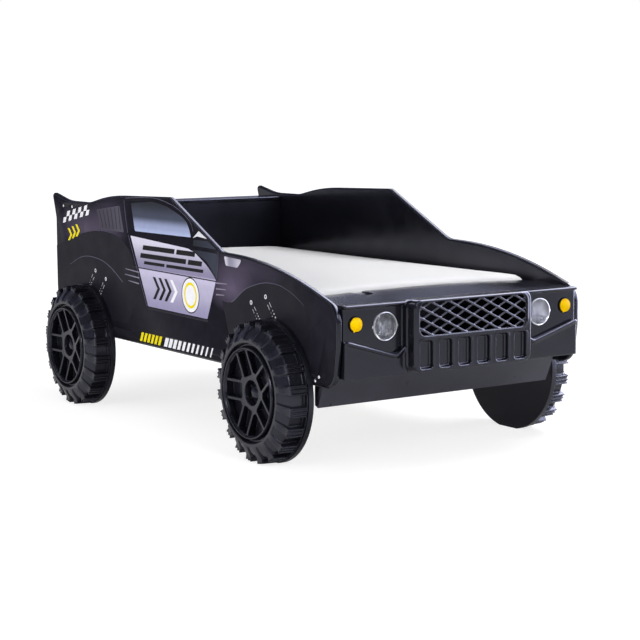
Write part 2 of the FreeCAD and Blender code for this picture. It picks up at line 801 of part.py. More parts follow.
def lug_outline(turn):
    """Side view of one tread lug: ribs with shallow grooves between them."""
    groove_radius = tread_radius + lug_height * rib_gap_share
    step = rib_width + rib_gap
    half = ((rib_count - 1) * step + rib_width) / 2
    corners = [(lug_root_radius, -half)]
    for index in range(rib_count):
        low = index * step - half
        ends = [(groove_radius, low), (lug_radius, low), (lug_radius, low + rib_width),
                (groove_radius, low + rib_width)]
        first = 1 if index == 0 else 0
        last = len(ends) - 1 if index == rib_count - 1 else len(ends)
        corners += ends[first:last]
    corners.append((lug_root_radius, half))
    points = [in_xz(*wheel_point(radius, turn + across / lug_radius)) for radius, across in corners]
    return Part.makePolygon(points + points[:1])


def shoulder_outline(turn):
    """Side view of one shoulder block, which leans a little and narrows towards the rim."""
    outer_radius = tread_radius + block_rise
    lean = (outer_radius - sidewall_radius) * math.tan(math.radians(block_lean_degrees)) / sidewall_radius
    inner = block_inner_width / 2 / sidewall_radius
    outer = block_outer_width / 2 / outer_radius
    corners = [(sidewall_radius, lean - inner), (outer_radius, -outer), (outer_radius, outer),
               (sidewall_radius, lean + inner)]
    points = [in_xz(*wheel_point(radius, turn + across)) for radius, across in corners]
    return Part.makePolygon(points + points[:1])


def turned_wheel(profile):
    """Solid of revolution about the axle from radii and depths outward from the disc."""
    return turned([(radius, -depth) for radius, depth in profile], in_xy, along_y)


def tyre_solid():
    """Tyre of the right side about its own axle: hollow casing, lugs and a blocked shoulder."""
    bore = rim_radius + rim_fit
    rise = block_rise
    casing = turned_wheel([
        (bore, 0), (tyre_flange_radius, 0), (tyre_flange_radius, tyre_flange_thickness),
        (tread_radius, tyre_flange_thickness), (tread_radius, tread_depth), (shoulder_radius, shoulder_depth),
        (sidewall_radius, sidewall_depth), (sidewall_radius, bead_ring_depth),
        (bead_ring_radius, bead_ring_depth), (bore, channel_floor_depth)])
    cavity = turned_wheel([
        (bead_ring_radius + tyre_wall, 0), (tread_radius - tyre_wall, 0),
        (tread_radius - tyre_wall, tread_depth - tyre_wall),
        (bead_ring_radius + tyre_wall, channel_floor_depth - tyre_wall)])
    tread = turned_wheel([
        (lug_root_radius, tyre_flange_thickness), (lug_radius, tyre_flange_thickness),
        (lug_end_radius, lug_end_depth), (lug_root_radius, lug_end_depth)])
    shoulder = turned_wheel([
        (sidewall_radius, sidewall_depth - tyre_wall), (shoulder_radius, shoulder_depth - tyre_wall),
        (tread_radius, tread_depth - tyre_wall), (tread_radius + rise, tread_depth - tyre_wall),
        (tread_radius + rise, tread_depth + rise), (shoulder_radius, shoulder_depth + rise),
        (sidewall_radius, bead_ring_depth)])
    lugs = []
    for index in range(lug_count):
        turn = (index + 1 / 2) * 2 * math.pi / lug_count
        lugs.append(prism(lug_outline(turn), -along_y * bead_ring_depth).common(tread))
        lugs.append(prism(shoulder_outline(turn), -along_y * (bead_ring_depth + rise)).common(shoulder))
    return casing.fuse(lugs).cut(cavity).removeSplitter()


def turned_point(ahead, across, turn):
    """Point given ahead and across in a direction that makes an angle with the bed's own."""
    x = ahead * math.cos(turn) - across * math.sin(turn)
    z = ahead * math.sin(turn) + across * math.cos(turn)
    return x, z


def window_outlines():
    """Windows of the rim: straight ones between neighbouring hub nodes, wedges ahead of each node."""
    outlines = []
    pitch = 2 * math.pi / node_count
    edge = slot_half + spoke_width
    corner = window_corner_radius
    slot_end = math.sqrt(window_outer_radius ** 2 - slot_half ** 2)
    wedge_end = turned_point(math.sqrt(window_outer_radius ** 2 - edge ** 2), -edge, pitch / 2)
    wedge_half = (wedge_inner_radius - edge / math.sin(pitch / 2)) * math.tan(pitch / 2)
    slot = [(slot_inner_radius, -slot_half, corner), (slot_end, -slot_half, corner),
            (slot_end, slot_half, corner), (slot_inner_radius, slot_half, corner)]
    wedge = [(wedge_inner_radius, -wedge_half, corner / 2), (wedge_end[0], -wedge_end[1], corner),
             (window_outer_radius, 0, 0), (wedge_end[0], wedge_end[1], corner),
             (wedge_inner_radius, wedge_half, corner / 2)]
    for index in range(node_count):
        for shape, turn in ((wedge, index * pitch), (slot, (index + 1 / 2) * pitch)):
            outlines.append([turned_point(a, b, turn) + (reach,) for a, b, reach in shape])
    return outlines


def rim_solid():
    """Rim of the right side about its own axle: crested ring, five double spokes, hub well, cap and nuts."""
    floor = rim_hub_depth - hub_well_depth
    crest = rim_radius - rim_crest_setback
    body = turned_wheel([
        (0, 0), (rim_radius, 0), (rim_radius, channel_floor_depth),
        (rim_radius - rim_wall_setback, channel_floor_depth), (crest, rim_crest_depth),
        (crest - rim_crest_width, rim_crest_depth), (rim_radius - rim_face_setback, rim_face_depth),
        (hub_radius, rim_hub_depth), (0, rim_hub_depth)])
    for corners in window_outlines():
        pocket = prism(rounded_wire(corners, in_xz), -along_y * (window_depth + overrun))
        body = body.cut(moved(pocket, 0, window_depth - rim_face_depth, 0))
    body = body.cut(turned_wheel([
        (0, floor), (hub_well_radius - hub_well_draft, floor), (hub_well_radius, rim_hub_depth),
        (0, rim_hub_depth)]))
    skirt = hub_cap_height * hub_cap_skirt_share
    dome = [(hub_cap_radius * share, floor + skirt + (hub_cap_height - skirt) * (1 - share * share))
            for share in lens_round_shares]
    cap = turned_wheel([(0, floor - wall), (hub_cap_radius, floor - wall)] + dome)
    root = FreeCAD.Vector(0, wall - floor, 0)
    nut = Part.makeCylinder(hub_nut_radius, hub_nut_height + wall, root, -along_y)
    nuts = []
    for index in range(hub_nut_count):
        x, z = wheel_point(hub_nut_circle, index * 2 * math.pi / hub_nut_count)
        nuts.append(moved(nut, x, 0, z))
    return body.fuse([cap] + nuts).removeSplitter()


def build_wheels():
    """Four wheels, flat at the floor: a board disc on the panel, a tyre on it and a rim in the tyre."""
    ground = box(-overall_length, overall_length, -overall_length, overall_length, -overall_length, 0)
    disc = Part.makeCylinder(disc_radius, disc_thickness, FreeCAD.Vector(0, -outer_face, 0), -along_y)
    tyre = moved(tyre_solid(), 0, -disc_face, 0)
    rim = moved(rim_solid(), 0, -disc_face, 0)
    bolts = wheel_bolts(screw_fit)
    for end, axle in axle_places.items():
        for name, side in sides.items():
            for piece, shape in (("wheel_disc", disc), ("tyre", tyre), ("rim", rim)):
                placed = moved(for_side(shape, side), axle, 0, axle_height).cut(ground)
                if piece == "wheel_disc":
                    placed = placed.cut(bolts)
                nodes["_".join((piece, end, name))] = placed


def build_fasteners():
    """Screws, bolts and corner brackets, each kind as one group."""
    nodes["shelf_screws"] = Part.makeCompound(side_screws("shelf_screws", 0))
    nodes["skid_screws"] = Part.makeCompound(side_screws("skid_screws", 0))
    nodes["wheel_bolts"] = Part.makeCompound(wheel_bolts(0))
    nodes["slat_screws"] = Part.makeCompound(slat_screws(0))
    brackets = []
    for corner, toward in ((rear_panel_front - board_thickness, -1), (foot_board_rear + board_thickness, 1)):
        for side in sides.values():
            for rise in bracket_rises:
                flat = [(0, 0), (bracket_leg, 0), (bracket_leg, bracket_thickness),
                        (bracket_thickness, bracket_thickness), (bracket_thickness, bracket_leg),
                        (0, bracket_leg)]
                points = [in_xy(corner + toward * a, side * (inner_face - b)) for a, b in flat]
                angle = prism(Part.makePolygon(points + points[:1]), along_z * bracket_width)
                brackets.append(moved(angle, 0, 0, board_bottom + rise))
    nodes["corner_brackets"] = Part.makeCompound(brackets)


def write_parts():
    """One file for each piece."""
    os.makedirs("parts", exist_ok=True)
    for name, shape in nodes.items():
        if not shape.isValid():
            raise ValueError(name + " is not a valid shape")
        shape.exportStep(os.path.join("parts", name + ".step"))
        print(name, len(shape.Solids), "solids", round(shape.Volume), "mm3")


build_panels()
build_boards()
build_base()
build_mattress()
build_bumper()
build_mesh()
build_lamps()
build_wheels()
build_fasteners()
write_parts()
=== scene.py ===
import logging
import math
from collections.abc import Callable, Sequence
from dataclasses import dataclass, replace
from enum import Enum

import bpy
from mathutils import Matrix, Vector


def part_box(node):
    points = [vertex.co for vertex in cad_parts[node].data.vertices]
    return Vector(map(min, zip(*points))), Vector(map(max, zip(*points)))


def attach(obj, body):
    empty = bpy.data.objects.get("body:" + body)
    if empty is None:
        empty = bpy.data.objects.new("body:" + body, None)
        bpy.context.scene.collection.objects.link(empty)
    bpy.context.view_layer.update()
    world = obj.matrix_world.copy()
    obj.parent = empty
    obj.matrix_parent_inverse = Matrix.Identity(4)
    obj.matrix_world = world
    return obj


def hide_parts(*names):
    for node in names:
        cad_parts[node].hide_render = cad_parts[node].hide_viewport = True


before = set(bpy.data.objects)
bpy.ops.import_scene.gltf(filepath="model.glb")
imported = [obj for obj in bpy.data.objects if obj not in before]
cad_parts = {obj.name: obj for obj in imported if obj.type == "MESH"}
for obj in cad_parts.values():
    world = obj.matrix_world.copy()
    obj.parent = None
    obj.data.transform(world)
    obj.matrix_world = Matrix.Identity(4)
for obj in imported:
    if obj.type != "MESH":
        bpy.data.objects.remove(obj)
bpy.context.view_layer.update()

# Looks of an off-road car bed for a child. Metres: X forward, Y to the car's left, Z up from the floor.

LOG = logging.getLogger("car_bed")
Colour = tuple[float, float, float]
Point2 = tuple[float, float]
Point3 = tuple[float, float, float]
Stop = tuple[float, Colour]
Piece = bpy.types.Object
Socket = bpy.types.NodeSocket
Value = Socket | float | Sequence[float]
MM = 0.001
WHITE = (1.0, 1.0, 1.0)
NOISE_LOW, NOISE_HIGH = 0.3, 0.7
PANEL_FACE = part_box("left_side_panel")[1].y


class Body(Enum):
    """Bodies of the frame that pieces ride on."""

    BEDSTEAD = "bedstead"
    MATTRESS = "mattress"


class Side(Enum):
    """Sides of the bed, as the sign of Y."""

    RIGHT = -1
    LEFT = 1

    @property
    def word(self) -> str:
        """Name of the side as the frame's nodes spell it."""
        return self.name.lower()


class End(Enum):
    """Ends of the bed that carry an axle."""

    FRONT = "front"
    REAR = "rear"


class Axis(Enum):
    """Axes of the frame, by their place in a vector."""

    X = 0
    Y = 1
    Z = 2


class Light(Enum):
    """Surfaces that a lamp lights: all, only glossy ones, or only dull ones."""

    FULL = "full"
    GLINT = "glint"
    FILL = "fill"


class Bench:
    """Small tools for shaping meshes with Blender's operators."""

    MERGE = 0.00002
    LATHE_MERGE = 0.000005
    FLAT_DEGREES = 0.6
    SHARP_DEGREES = 32.0
    EASED_DEGREES = 38.0
    NORMAL_WEIGHT = 60

    @staticmethod
    def clear() -> None:
        """Leave edit mode and deselect everything."""
        if bpy.context.object and bpy.context.object.mode != "OBJECT":
            bpy.ops.object.mode_set(mode="OBJECT")
        bpy.ops.object.select_all(action="DESELECT")

    @staticmethod
    def only(piece: Piece) -> None:
        """Make one piece the sole selected and active object."""
        Bench.clear()
        piece.hide_set(False)
        piece.select_set(True)
        bpy.context.view_layer.objects.active = piece

    @staticmethod
    def edit(piece: Piece) -> None:
        """Open a piece in edit mode with all of it selected."""
        Bench.only(piece)
        bpy.ops.object.mode_set(mode="EDIT")
        bpy.ops.mesh.select_all(action="SELECT")

    @staticmethod
    def outwards() -> None:
        """Turn the selected faces of the open piece outwards, and close it."""
        bpy.ops.mesh.normals_make_consistent(inside=False)
        bpy.ops.object.mode_set(mode="OBJECT")

    @staticmethod
    def name(piece: Piece, name: str) -> Piece:
        """Name a piece and its mesh alike."""
        piece.name = name
        piece.data.name = name
        return piece

    @staticmethod
    def select_faces(piece: Piece, test: Callable[[bpy.types.MeshPolygon], bool]) -> None:
        """Open a piece in edit mode with only some of its faces selected.

        Args:
            piece: Mesh object.
            test: Called with each face, true for those to select.
        """
        Bench.edit(piece)
        bpy.ops.mesh.select_mode(type="FACE")
        bpy.ops.mesh.select_all(action="DESELECT")
        bpy.ops.object.mode_set(mode="OBJECT")
        for face in piece.data.polygons:
            face.select = test(face)
        bpy.ops.object.mode_set(mode="EDIT")

    @staticmethod
    def apply(piece: Piece, kind: str, **settings) -> None:
        """Add a modifier with its settings and apply it.

        Args:
            piece: Mesh object.
            kind: Modifier type.
            **settings: Values set on the modifier.
        """
        Bench.only(piece)
        modifier = piece.modifiers.new(kind.lower(), kind)
        for key, value in settings.items():
            setattr(modifier, key, value)
        bpy.ops.object.modifier_apply(modifier=modifier.name)

    @staticmethod
    def smooth(piece: Piece, degrees: float) -> None:
        """Smooth shading with sharp edges above an angle."""
        Bench.only(piece)
        bpy.ops.object.shade_smooth_by_angle(angle=math.radians(degrees))

    @staticmethod
    def settle(piece: Piece) -> None:
        """Move a piece's place, turn and scale into its mesh."""
        Bench.only(piece)
        bpy.ops.object.transform_apply(location=True, rotation=True, scale=True)

    @staticmethod
    def tidy(piece: Piece, merge: float) -> None:
        """Merge doubles and turn the faces outwards."""
        Bench.edit(piece)
        bpy.ops.mesh.remove_doubles(threshold=merge)
        Bench.outwards()

    @staticmethod
    def join(pieces: list[Piece], name: str) -> Piece:
        """Join pieces into one.

        Args:
            pieces: Mesh objects, the first of which stays.
            name: Name of the joined piece.

        Returns:
            The joined piece.
        """
        Bench.clear()
        for piece in pieces:
            piece.select_set(True)
        bpy.context.view_layer.objects.active = pieces[0]
        if len(pieces) > 1:
            bpy.ops.object.join()
        return Bench.name(pieces[0], name)

    @staticmethod
    def outline(points: Sequence[Point3], name: str, fill: str) -> Piece:
        """Ring of vertices moved to the points of an outline.

        Args:
            points: Points around the outline.
            name: Name of the piece.
            fill: Fill type of the ring.

        Returns:
            The outline.
        """
        Bench.clear()
        bpy.ops.mesh.primitive_circle_add(vertices=len(points), radius=1.0, fill_type=fill)
        piece = Bench.name(bpy.context.object, name)
        for vertex, point in zip(piece.data.vertices, points):
            vertex.co = point
        return piece

    @staticmethod
    def lathe(profile: list[Point2], name: str, steps: int) -> Piece:
        """Closed profile spun about the X axis.

        Args:
            profile: Radius and X of each point, around the profile.
            name: Name of the piece.
            steps: Steps of the turn.

        Returns:
            The spun piece.
        """
        piece = Bench.outline([(x, 0.0, radius) for radius, x in profile], name, "NOTHING")
        Bench.edit(piece)
        bpy.ops.mesh.spin(steps=steps, angle=math.tau, center=(0, 0, 0), axis=(1, 0, 0))
        bpy.ops.mesh.select_all(action="SELECT")
        bpy.ops.mesh.remove_doubles(threshold=Bench.LATHE_MERGE)
        bpy.ops.mesh.delete_loose()
        bpy.ops.mesh.select_all(action="SELECT")
        Bench.outwards()
        return piece

    @staticmethod
    def block(place: Point3, size: Point3, turn: Point3) -> Piece:
        """Box that is turned and set at a place.

        Args:
            place: Its middle.
            size: Its size along each axis, before it is turned.
            turn: Turn about each axis, in radians.

        Returns:
            The box.
        """
        Bench.clear()
        bpy.ops.mesh.primitive_cube_add(size=1.0, location=place, rotation=turn)
        piece = bpy.context.object
        piece.scale = size
        Bench.settle(piece)
        return piece

    @staticmethod
    def carve(piece: Piece, cutter: Piece) -> None:
        """Cut one piece out of another, and remove the cutter."""
        Bench.apply(piece, "BOOLEAN", operation="DIFFERENCE", object=cutter, solver="EXACT")
        bpy.data.objects.remove(cutter)

    @staticmethod
    def copy_of(source: Piece, name: str) -> Piece:
        """New piece with its own copy of a mesh and no custom properties.

        Args:
            source: Mesh object to copy.
            name: Name of the copy.

        Returns:
            The copy.
        """
        mesh = source.data.copy()
        mesh.materials.clear()
        piece = bpy.data.objects.new(name, mesh)
        mesh.name = name
        bpy.context.scene.collection.objects.link(piece)
        return piece

    @staticmethod
    def eased(node: str, width: float, segments: int) -> Piece:
        """Copy of a frame node with its sharp edges rounded.

        Args:
            node: Name of the node.
            width: Width of the rounding.
            segments: Steps of the rounding.

        Returns:
            The rounded piece.
        """
        piece = Bench.copy_of(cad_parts[node], node + "_eased")
        Bench.edit(piece)
        bpy.ops.mesh.remove_doubles(threshold=Bench.MERGE)
        bpy.ops.mesh.dissolve_limited(angle_limit=math.radians(Bench.FLAT_DEGREES))
        Bench.outwards()
        Bench.apply(piece, "BEVEL", width=width, segments=segments, limit_method="ANGLE",
                    angle_limit=math.radians(Bench.SHARP_DEGREES), use_clamp_overlap=False,
                    miter_outer="MITER_SHARP")
        Bench.smooth(piece, Bench.EASED_DEGREES)
        Bench.apply(piece, "WEIGHTED_NORMAL", keep_sharp=True, weight=Bench.NORMAL_WEIGHT)
        return piece


class Nodes:
    """Shader node tree, built node by node."""

    def __init__(self, tree: bpy.types.NodeTree) -> None:
        """Start with an empty tree."""
        self.tree = tree
        tree.nodes.clear()

    def feed(self, target: Socket, value: Value) -> None:
        """Link a socket to an input, or set a number, vector or colour on it.

        Args:
            target: Input to feed.
            value: Socket, number, vector or colour.
        """
        if isinstance(value, Socket):
            self.tree.links.new(value, target)
        elif target.type == "RGBA":
            target.default_value = (*value, 1.0)
        else:
            target.default_value = value

    def add(self, kind: str, inputs: dict[str | int, Value] | None = None, **settings) -> bpy.types.Node:
        """Add a node.

        Args:
            kind: Node type.
            inputs: What feeds its inputs, by their name or number.
            **settings: Properties of the node.

        Returns:
            The node.
        """
        node = self.tree.nodes.new(kind)
        for key, value in settings.items():
            setattr(node, key, value)
        for key, value in (inputs or {}).items():
            self.feed(node.inputs[key], value)
        return node

    def ramp(self, value: Socket, stops: Sequence[Stop], ease: bool = False) -> Socket:
        """Colour ramp.

        Args:
            value: Socket that drives it.
            stops: Positions and colours.
            ease: Smooth steps between the stops.

        Returns:
            Socket with the colour.
        """
        node = self.add("ShaderNodeValToRGB", {"Fac": value})
        node.color_ramp.interpolation = "EASE" if ease else "LINEAR"
        elements = node.color_ramp.elements
        while len(elements) < len(stops):
            elements.new(0.5)
        for element, (position, colour) in zip(elements, stops):
            element.position = position
            element.color = (*colour, 1.0)
        return node.outputs["Color"]


class Graph(Nodes):
    """Node tree of one material."""

    BEVEL_SAMPLES = 6

    def __init__(self, name: str) -> None:
        """Start a material with a single output and a principled shader."""
        self.material = bpy.data.materials.new(name)
        self.material.use_nodes = True
        super().__init__(self.material.node_tree)
        self.shader = self.add("ShaderNodeBsdfPrincipled")
        self.output = self.add("ShaderNodeOutputMaterial", {"Surface": self.shader.outputs["BSDF"]})
        self.place = self.add("ShaderNodeTexCoord").outputs["Object"]

    def shade(self, inputs: dict[str, Value]) -> None:
        """Feed inputs of the principled shader by name."""
        for key, value in inputs.items():
            self.feed(self.shader.inputs[key], value)

    def mapped(self, scale: Sequence[float], shift: Point3 = (0, 0, 0), turn: Point3 = (0, 0, 0)) -> Socket:
        """Object coordinates moved, turned and scaled.

        Args:
            scale: Scale along each axis.
            shift: Shift after scaling.
            turn: Turn about each axis, in radians.

        Returns:
            Socket with the vector.
        """
        inputs = {"Vector": self.place, "Location": shift, "Rotation": turn, "Scale": scale}
        return self.add("ShaderNodeMapping", inputs).outputs["Vector"]

    def noise(self, scale: float, detail: float, vector: Socket | None = None) -> Socket:
        """Noise over the object.

        Args:
            scale: Cells per metre.
            detail: Octaves.
            vector: Coordinates other than the object's.

        Returns:
            Socket with the noise's value.
        """
        inputs = {"Vector": self.place if vector is None else vector, "Scale": scale, "Detail": detail}
        return self.add("ShaderNodeTexNoise", inputs).outputs["Fac"]

    def bands(self, axis: Axis, profile: str, scale: float, vector: Socket, waver: float = 0.0) -> Socket:
        """Bands that follow each other along an axis.

        Args:
            axis: The axis.
            profile: Wave profile.
            scale: Scale of the wave.
            vector: Coordinates.
            waver: Distortion of the wave.

        Returns:
            Socket with the bands' value.
        """
        inputs = {"Vector": vector, "Scale": scale, "Distortion": waver}
        node = self.add("ShaderNodeTexWave", inputs, wave_type="BANDS", bands_direction=axis.name,
                        wave_profile=profile)
        return node.outputs["Fac"]

    def spread(self, value: Socket, low: float, high: float, from_low: float = NOISE_LOW,
               from_high: float = NOISE_HIGH) -> Socket:
        """Stretch a value from one range to another.

        Args:
            value: Socket to stretch.
            low: New low end.
            high: New high end.
            from_low: Old low end.
            from_high: Old high end.

        Returns:
            Socket with the new value.
        """
        inputs = {"Value": value, "From Min": from_low, "From Max": from_high, "To Min": low, "To Max": high}
        return self.add("ShaderNodeMapRange", inputs).outputs["Result"]

    def blend(self, share: Socket | float, first: Value, second: Value, mode: str = "MIX") -> Socket:
        """Mix two colours.

        Args:
            share: Socket or number between the two.
            first: Socket or colour.
            second: Socket or colour.
            mode: Blend type.

        Returns:
            Socket with the colour.
        """
        inputs = {0: share, 6: first, 7: second}
        return self.add("ShaderNodeMix", inputs, data_type="RGBA", blend_type=mode).outputs[2]

    def math(self, operation: str, first: Socket, second: Socket) -> Socket:
        """Arithmetic on two sockets."""
        return self.add("ShaderNodeMath", {0: first, 1: second}, operation=operation).outputs[0]

    def bump(self, height: Socket, depth: float, edge: float = 0.0) -> None:
        """Raise the surface by a height, and soften the light's turn at its edges.

        Args:
            height: Socket with the height.
            depth: Height of one unit, in metres.
            edge: Radius of the softened edges, in metres.
        """
        inputs = {"Height": height, "Distance": depth}
        if edge > 0:
            soft = self.add("ShaderNodeBevel", {"Radius": edge}, samples=self.BEVEL_SAMPLES)
            inputs["Normal"] = soft.outputs["Normal"]
        self.shade({"Normal": self.add("ShaderNodeBump", inputs).outputs["Normal"]})


def mixed(colour: Colour, other: Colour, share: float) -> Colour:
    """Colour a share of the way to another."""
    return tuple(a + (b - a) * share for a, b in zip(colour, other))


def scaled(colour: Colour, factor: float) -> Colour:
    """Colour made lighter or darker."""
    return tuple(min(1.0, channel * factor) for channel in colour)


@dataclass(frozen=True)
class Finish:
    """Even finish with a mottled colour, an uneven sheen and a fine grain."""

    name: str
    colour: Colour
    rough: float
    specular: float = 0.5
    metallic: float = 0.0
    mottle: float = 0.12
    mottle_scale: float = 9.0
    mottle_detail: float = 6.0
    rough_spread: float = 0.05
    rough_scale: float = 14.0
    rough_detail: float = 5.0
    grain_scale: float = 900.0
    grain_detail: float = 2.0
    grain_depth: float = 0.00006
    gloss_tint: Colour = WHITE
    edge: float = 0.0

    def start(self) -> Graph:
        """Graph with the plain numbers set on the shader."""
        graph = Graph(self.name)
        graph.shade({"Specular IOR Level": self.specular, "Specular Tint": self.gloss_tint,
                     "Metallic": self.metallic})
        return graph

    def mottled(self, graph: Graph, low: Colour, high: Colour) -> Socket:
        """Colour that noise spreads between two shades.

        Args:
            graph: Graph that takes the nodes.
            low: Shade at the low end.
            high: Shade at the high end.

        Returns:
            Socket with the colour.
        """
        value = graph.noise(self.mottle_scale, self.mottle_detail)
        return graph.ramp(value, ((NOISE_LOW, low), (NOISE_HIGH, high)))

    def ground(self, graph: Graph) -> Socket:
        """The finish's own colour, mottled both ways."""
        return self.mottled(graph, scaled(self.colour, 1 - self.mottle), scaled(self.colour, 1 + self.mottle))

    def sheen(self, graph: Graph, value: Socket, low: float = NOISE_LOW, high: float = NOISE_HIGH) -> None:
        """Roughness spread about the finish's own.

        Args:
            graph: Graph that takes the nodes.
            value: Socket that spreads it.
            low: Low end of the value.
            high: High end of the value.
        """
        least, most = self.rough - self.rough_spread, self.rough + self.rough_spread
        graph.shade({"Roughness": graph.spread(value, least, most, low, high)})

    def surface(self, graph: Graph) -> None:
        """Uneven sheen and fine grain."""
        self.sheen(graph, graph.noise(self.rough_scale, self.rough_detail))
        graph.bump(graph.noise(self.grain_scale, self.grain_detail), self.grain_depth, self.edge)

    def make(self) -> bpy.types.Material:
        """Build the material.

        Returns:
            The material.
        """
        graph = self.start()
        graph.shade({"Base Color": self.ground(graph)})
        self.surface(graph)
        return graph.material


@dataclass(frozen=True)
class Timber(Finish):
    """Planed softwood with growth rings along one axis."""

    dark: Colour = (0.42, 0.24, 0.11)
    along: Axis = Axis.Y
    along_scale: float = 1.2
    across_scale: float = 16.0
    ring_scale: float = 0.55
    ring_waver: float = 5.5
    ring_detail: float = 3.0
    ring_detail_scale: float = 1.4
    ring_span: Point2 = (0.15, 0.85)
    ring_share: float = 0.55
    fibre_ratio: float = 4.0
    fibre_scale: float = 9.0
    fibre_share: float = 0.35

    def make(self) -> bpy.types.Material:
        """Build the material.

        Returns:
            The material.
        """
        graph = self.start()
        scale = [self.across_scale] * 3
        scale[self.along.value] = self.along_scale
        rings = graph.add("ShaderNodeTexWave", {"Vector": graph.mapped(scale), "Scale": self.ring_scale,
                                                "Distortion": self.ring_waver, "Detail": self.ring_detail,
                                                "Detail Scale": self.ring_detail_scale},
                          wave_type="RINGS", rings_direction=self.along.name)
        shades = (self.colour, mixed(self.colour, self.dark, self.ring_share))
        colour = graph.ramp(rings.outputs["Fac"], list(zip(self.ring_span, shades)))
        fine = graph.mapped([part * self.fibre_ratio for part in scale])
        fibre = graph.noise(self.fibre_scale, self.mottle_detail, fine)
        colour = graph.blend(graph.spread(fibre, 0.0, self.fibre_share), colour, self.dark)
        graph.shade({"Base Color": colour})
        self.sheen(graph, fibre)
        graph.bump(fibre, self.grain_depth)
        return graph.material


@dataclass(frozen=True)
class Knit(Finish):
    """Smooth stretch-knit cover with rows of fine loops."""

    rows: float = 620.0
    waver: float = 0.6
    fuzz: float = 0.25
    fuzz_rough: float = 0.5

    def make(self) -> bpy.types.Material:
        """Build the material.

        Returns:
            The material.
        """
        graph = self.start()
        colour = self.mottled(graph, scaled(self.colour, 1 - self.mottle), self.colour)
        graph.shade({"Sheen Weight": self.fuzz, "Sheen Roughness": self.fuzz_rough, "Base Color": colour})
        scale = self.rows / math.tau
        rows = [graph.bands(axis, "SIN", scale, graph.place, self.waver) for axis in (Axis.X, Axis.Y)]
        loops = graph.math("MULTIPLY", *rows)
        self.sheen(graph, loops, 0.0, 1.0)
        graph.bump(loops, self.grain_depth)
        return graph.material


@dataclass(frozen=True)
class Clear(Finish):
    """Clear moulded lens with leaning rows of prisms pressed into it."""

    pitch: float = 0.0055
    lean: float = 40.0
    ior: float = 1.45
    wave_radians: float = 20.0

    def make(self) -> bpy.types.Material:
        """Build the material.

        Returns:
            The material.
        """
        graph = self.start()
        colour = self.mottled(graph, scaled(self.colour, 1 - self.mottle), self.colour)
        graph.shade({"Transmission Weight": 1.0, "IOR": self.ior, "Base Color": colour})
        leaning = graph.mapped((1, 1, 1), turn=(math.radians(self.lean), 0, 0))
        scale = math.tau / self.wave_radians / self.pitch
        rows = [graph.bands(axis, "TRI", scale, leaning) for axis in (Axis.Y, Axis.Z)]
        prisms = graph.math("ADD", *rows)
        most = self.rough + self.rough_spread
        graph.shade({"Roughness": graph.spread(prisms, self.rough, most, 0.0, len(rows))})
        graph.bump(prisms, self.grain_depth)
        return graph.material


@dataclass(frozen=True)
class Fade(Finish):
    """Printed film whose colour runs from one place to another in the side view."""

    start_at: Point2 = (0.0, 0.0)
    end_at: Point2 = (0.0, 1.0)
    stops: tuple[Stop, ...] = ()

    def make(self) -> bpy.types.Material:
        """Build the material.

        Returns:
            The material.
        """
        graph = self.start()
        run = (self.end_at[0] - self.start_at[0], self.end_at[1] - self.start_at[1])
        square = run[0] ** 2 + run[1] ** 2
        step = (run[0] / square, 0.0, run[1] / square)
        reach = graph.add("ShaderNodeVectorMath", {0: graph.place, 1: step}, operation="DOT_PRODUCT")
        base = (self.start_at[0] * run[0] + self.start_at[1] * run[1]) / square
        share = graph.spread(reach.outputs["Value"], 0.0, 1.0, base, base + 1.0)
        speck = self.mottled(graph, scaled(WHITE, 1 - self.mottle), WHITE)
        colour = graph.blend(1.0, graph.ramp(share, self.stops, ease=True), speck, "MULTIPLY")
        graph.shade({"Base Color": colour})
        self.surface(graph)
        return graph.material


@dataclass(frozen=True)
class Zone:
    """Soft glow in a printed film: middle, reach, colour and strength."""

    middle: Point2
    reach: Point2
    colour: Colour
    strength: float


@dataclass(frozen=True)
class ZonedFilm(Finish):
    """Dark printed film with soft lighter zones."""

    zones: tuple[Zone, ...] = ()

    def make(self) -> bpy.types.Material:
        """Build the material.

        Returns:
            The material.
        """
        graph = self.start()
        colour = self.ground(graph)
        for zone in self.zones:
            scale = (1 / zone.reach[0], 0.0, 1 / zone.reach[1])
            shift = (-zone.middle[0] / zone.reach[0], 0.0, -zone.middle[1] / zone.reach[1])
            glow = graph.add("ShaderNodeTexGradient", {"Vector": graph.mapped(scale, shift)},
                             gradient_type="SPHERICAL")
            share = graph.spread(glow.outputs["Fac"], 0.0, zone.strength, 0.0, 1.0)
            colour = graph.blend(share, colour, zone.colour)
        graph.shade({"Base Color": colour})
        self.surface(graph)
        return graph.material


@dataclass(frozen=True)
class StudioLamp:
    """Rectangular soft lamp: its place, target, width and height, power, and what it lights."""

    name: str
    place: Point3
    target: Point3
    size: Point2
    watts: float
    kind: Light = Light.FULL
    glint_colour: Colour = (0.78, 0.80, 1.0)

    def hang(self) -> None:
        """Add the lamp to the scene."""
        data = bpy.data.lights.new(self.name, "AREA")
        data.shape = "RECTANGLE"
        data.size, data.size_y = self.size
        data.energy = self.watts
        if self.kind is Light.GLINT:
            data.color = self.glint_colour
        lamp = bpy.data.objects.new(self.name, data)
        lamp.visible_diffuse = self.kind is not Light.GLINT
        lamp.visible_glossy = self.kind is not Light.FILL
        lamp.visible_camera = False
        lamp.location = self.place
        run = Vector(self.target) - Vector(self.place)
        lamp.rotation_euler = run.to_track_quat("-Z", "Y").to_euler()
        bpy.context.scene.collection.objects.link(lamp)


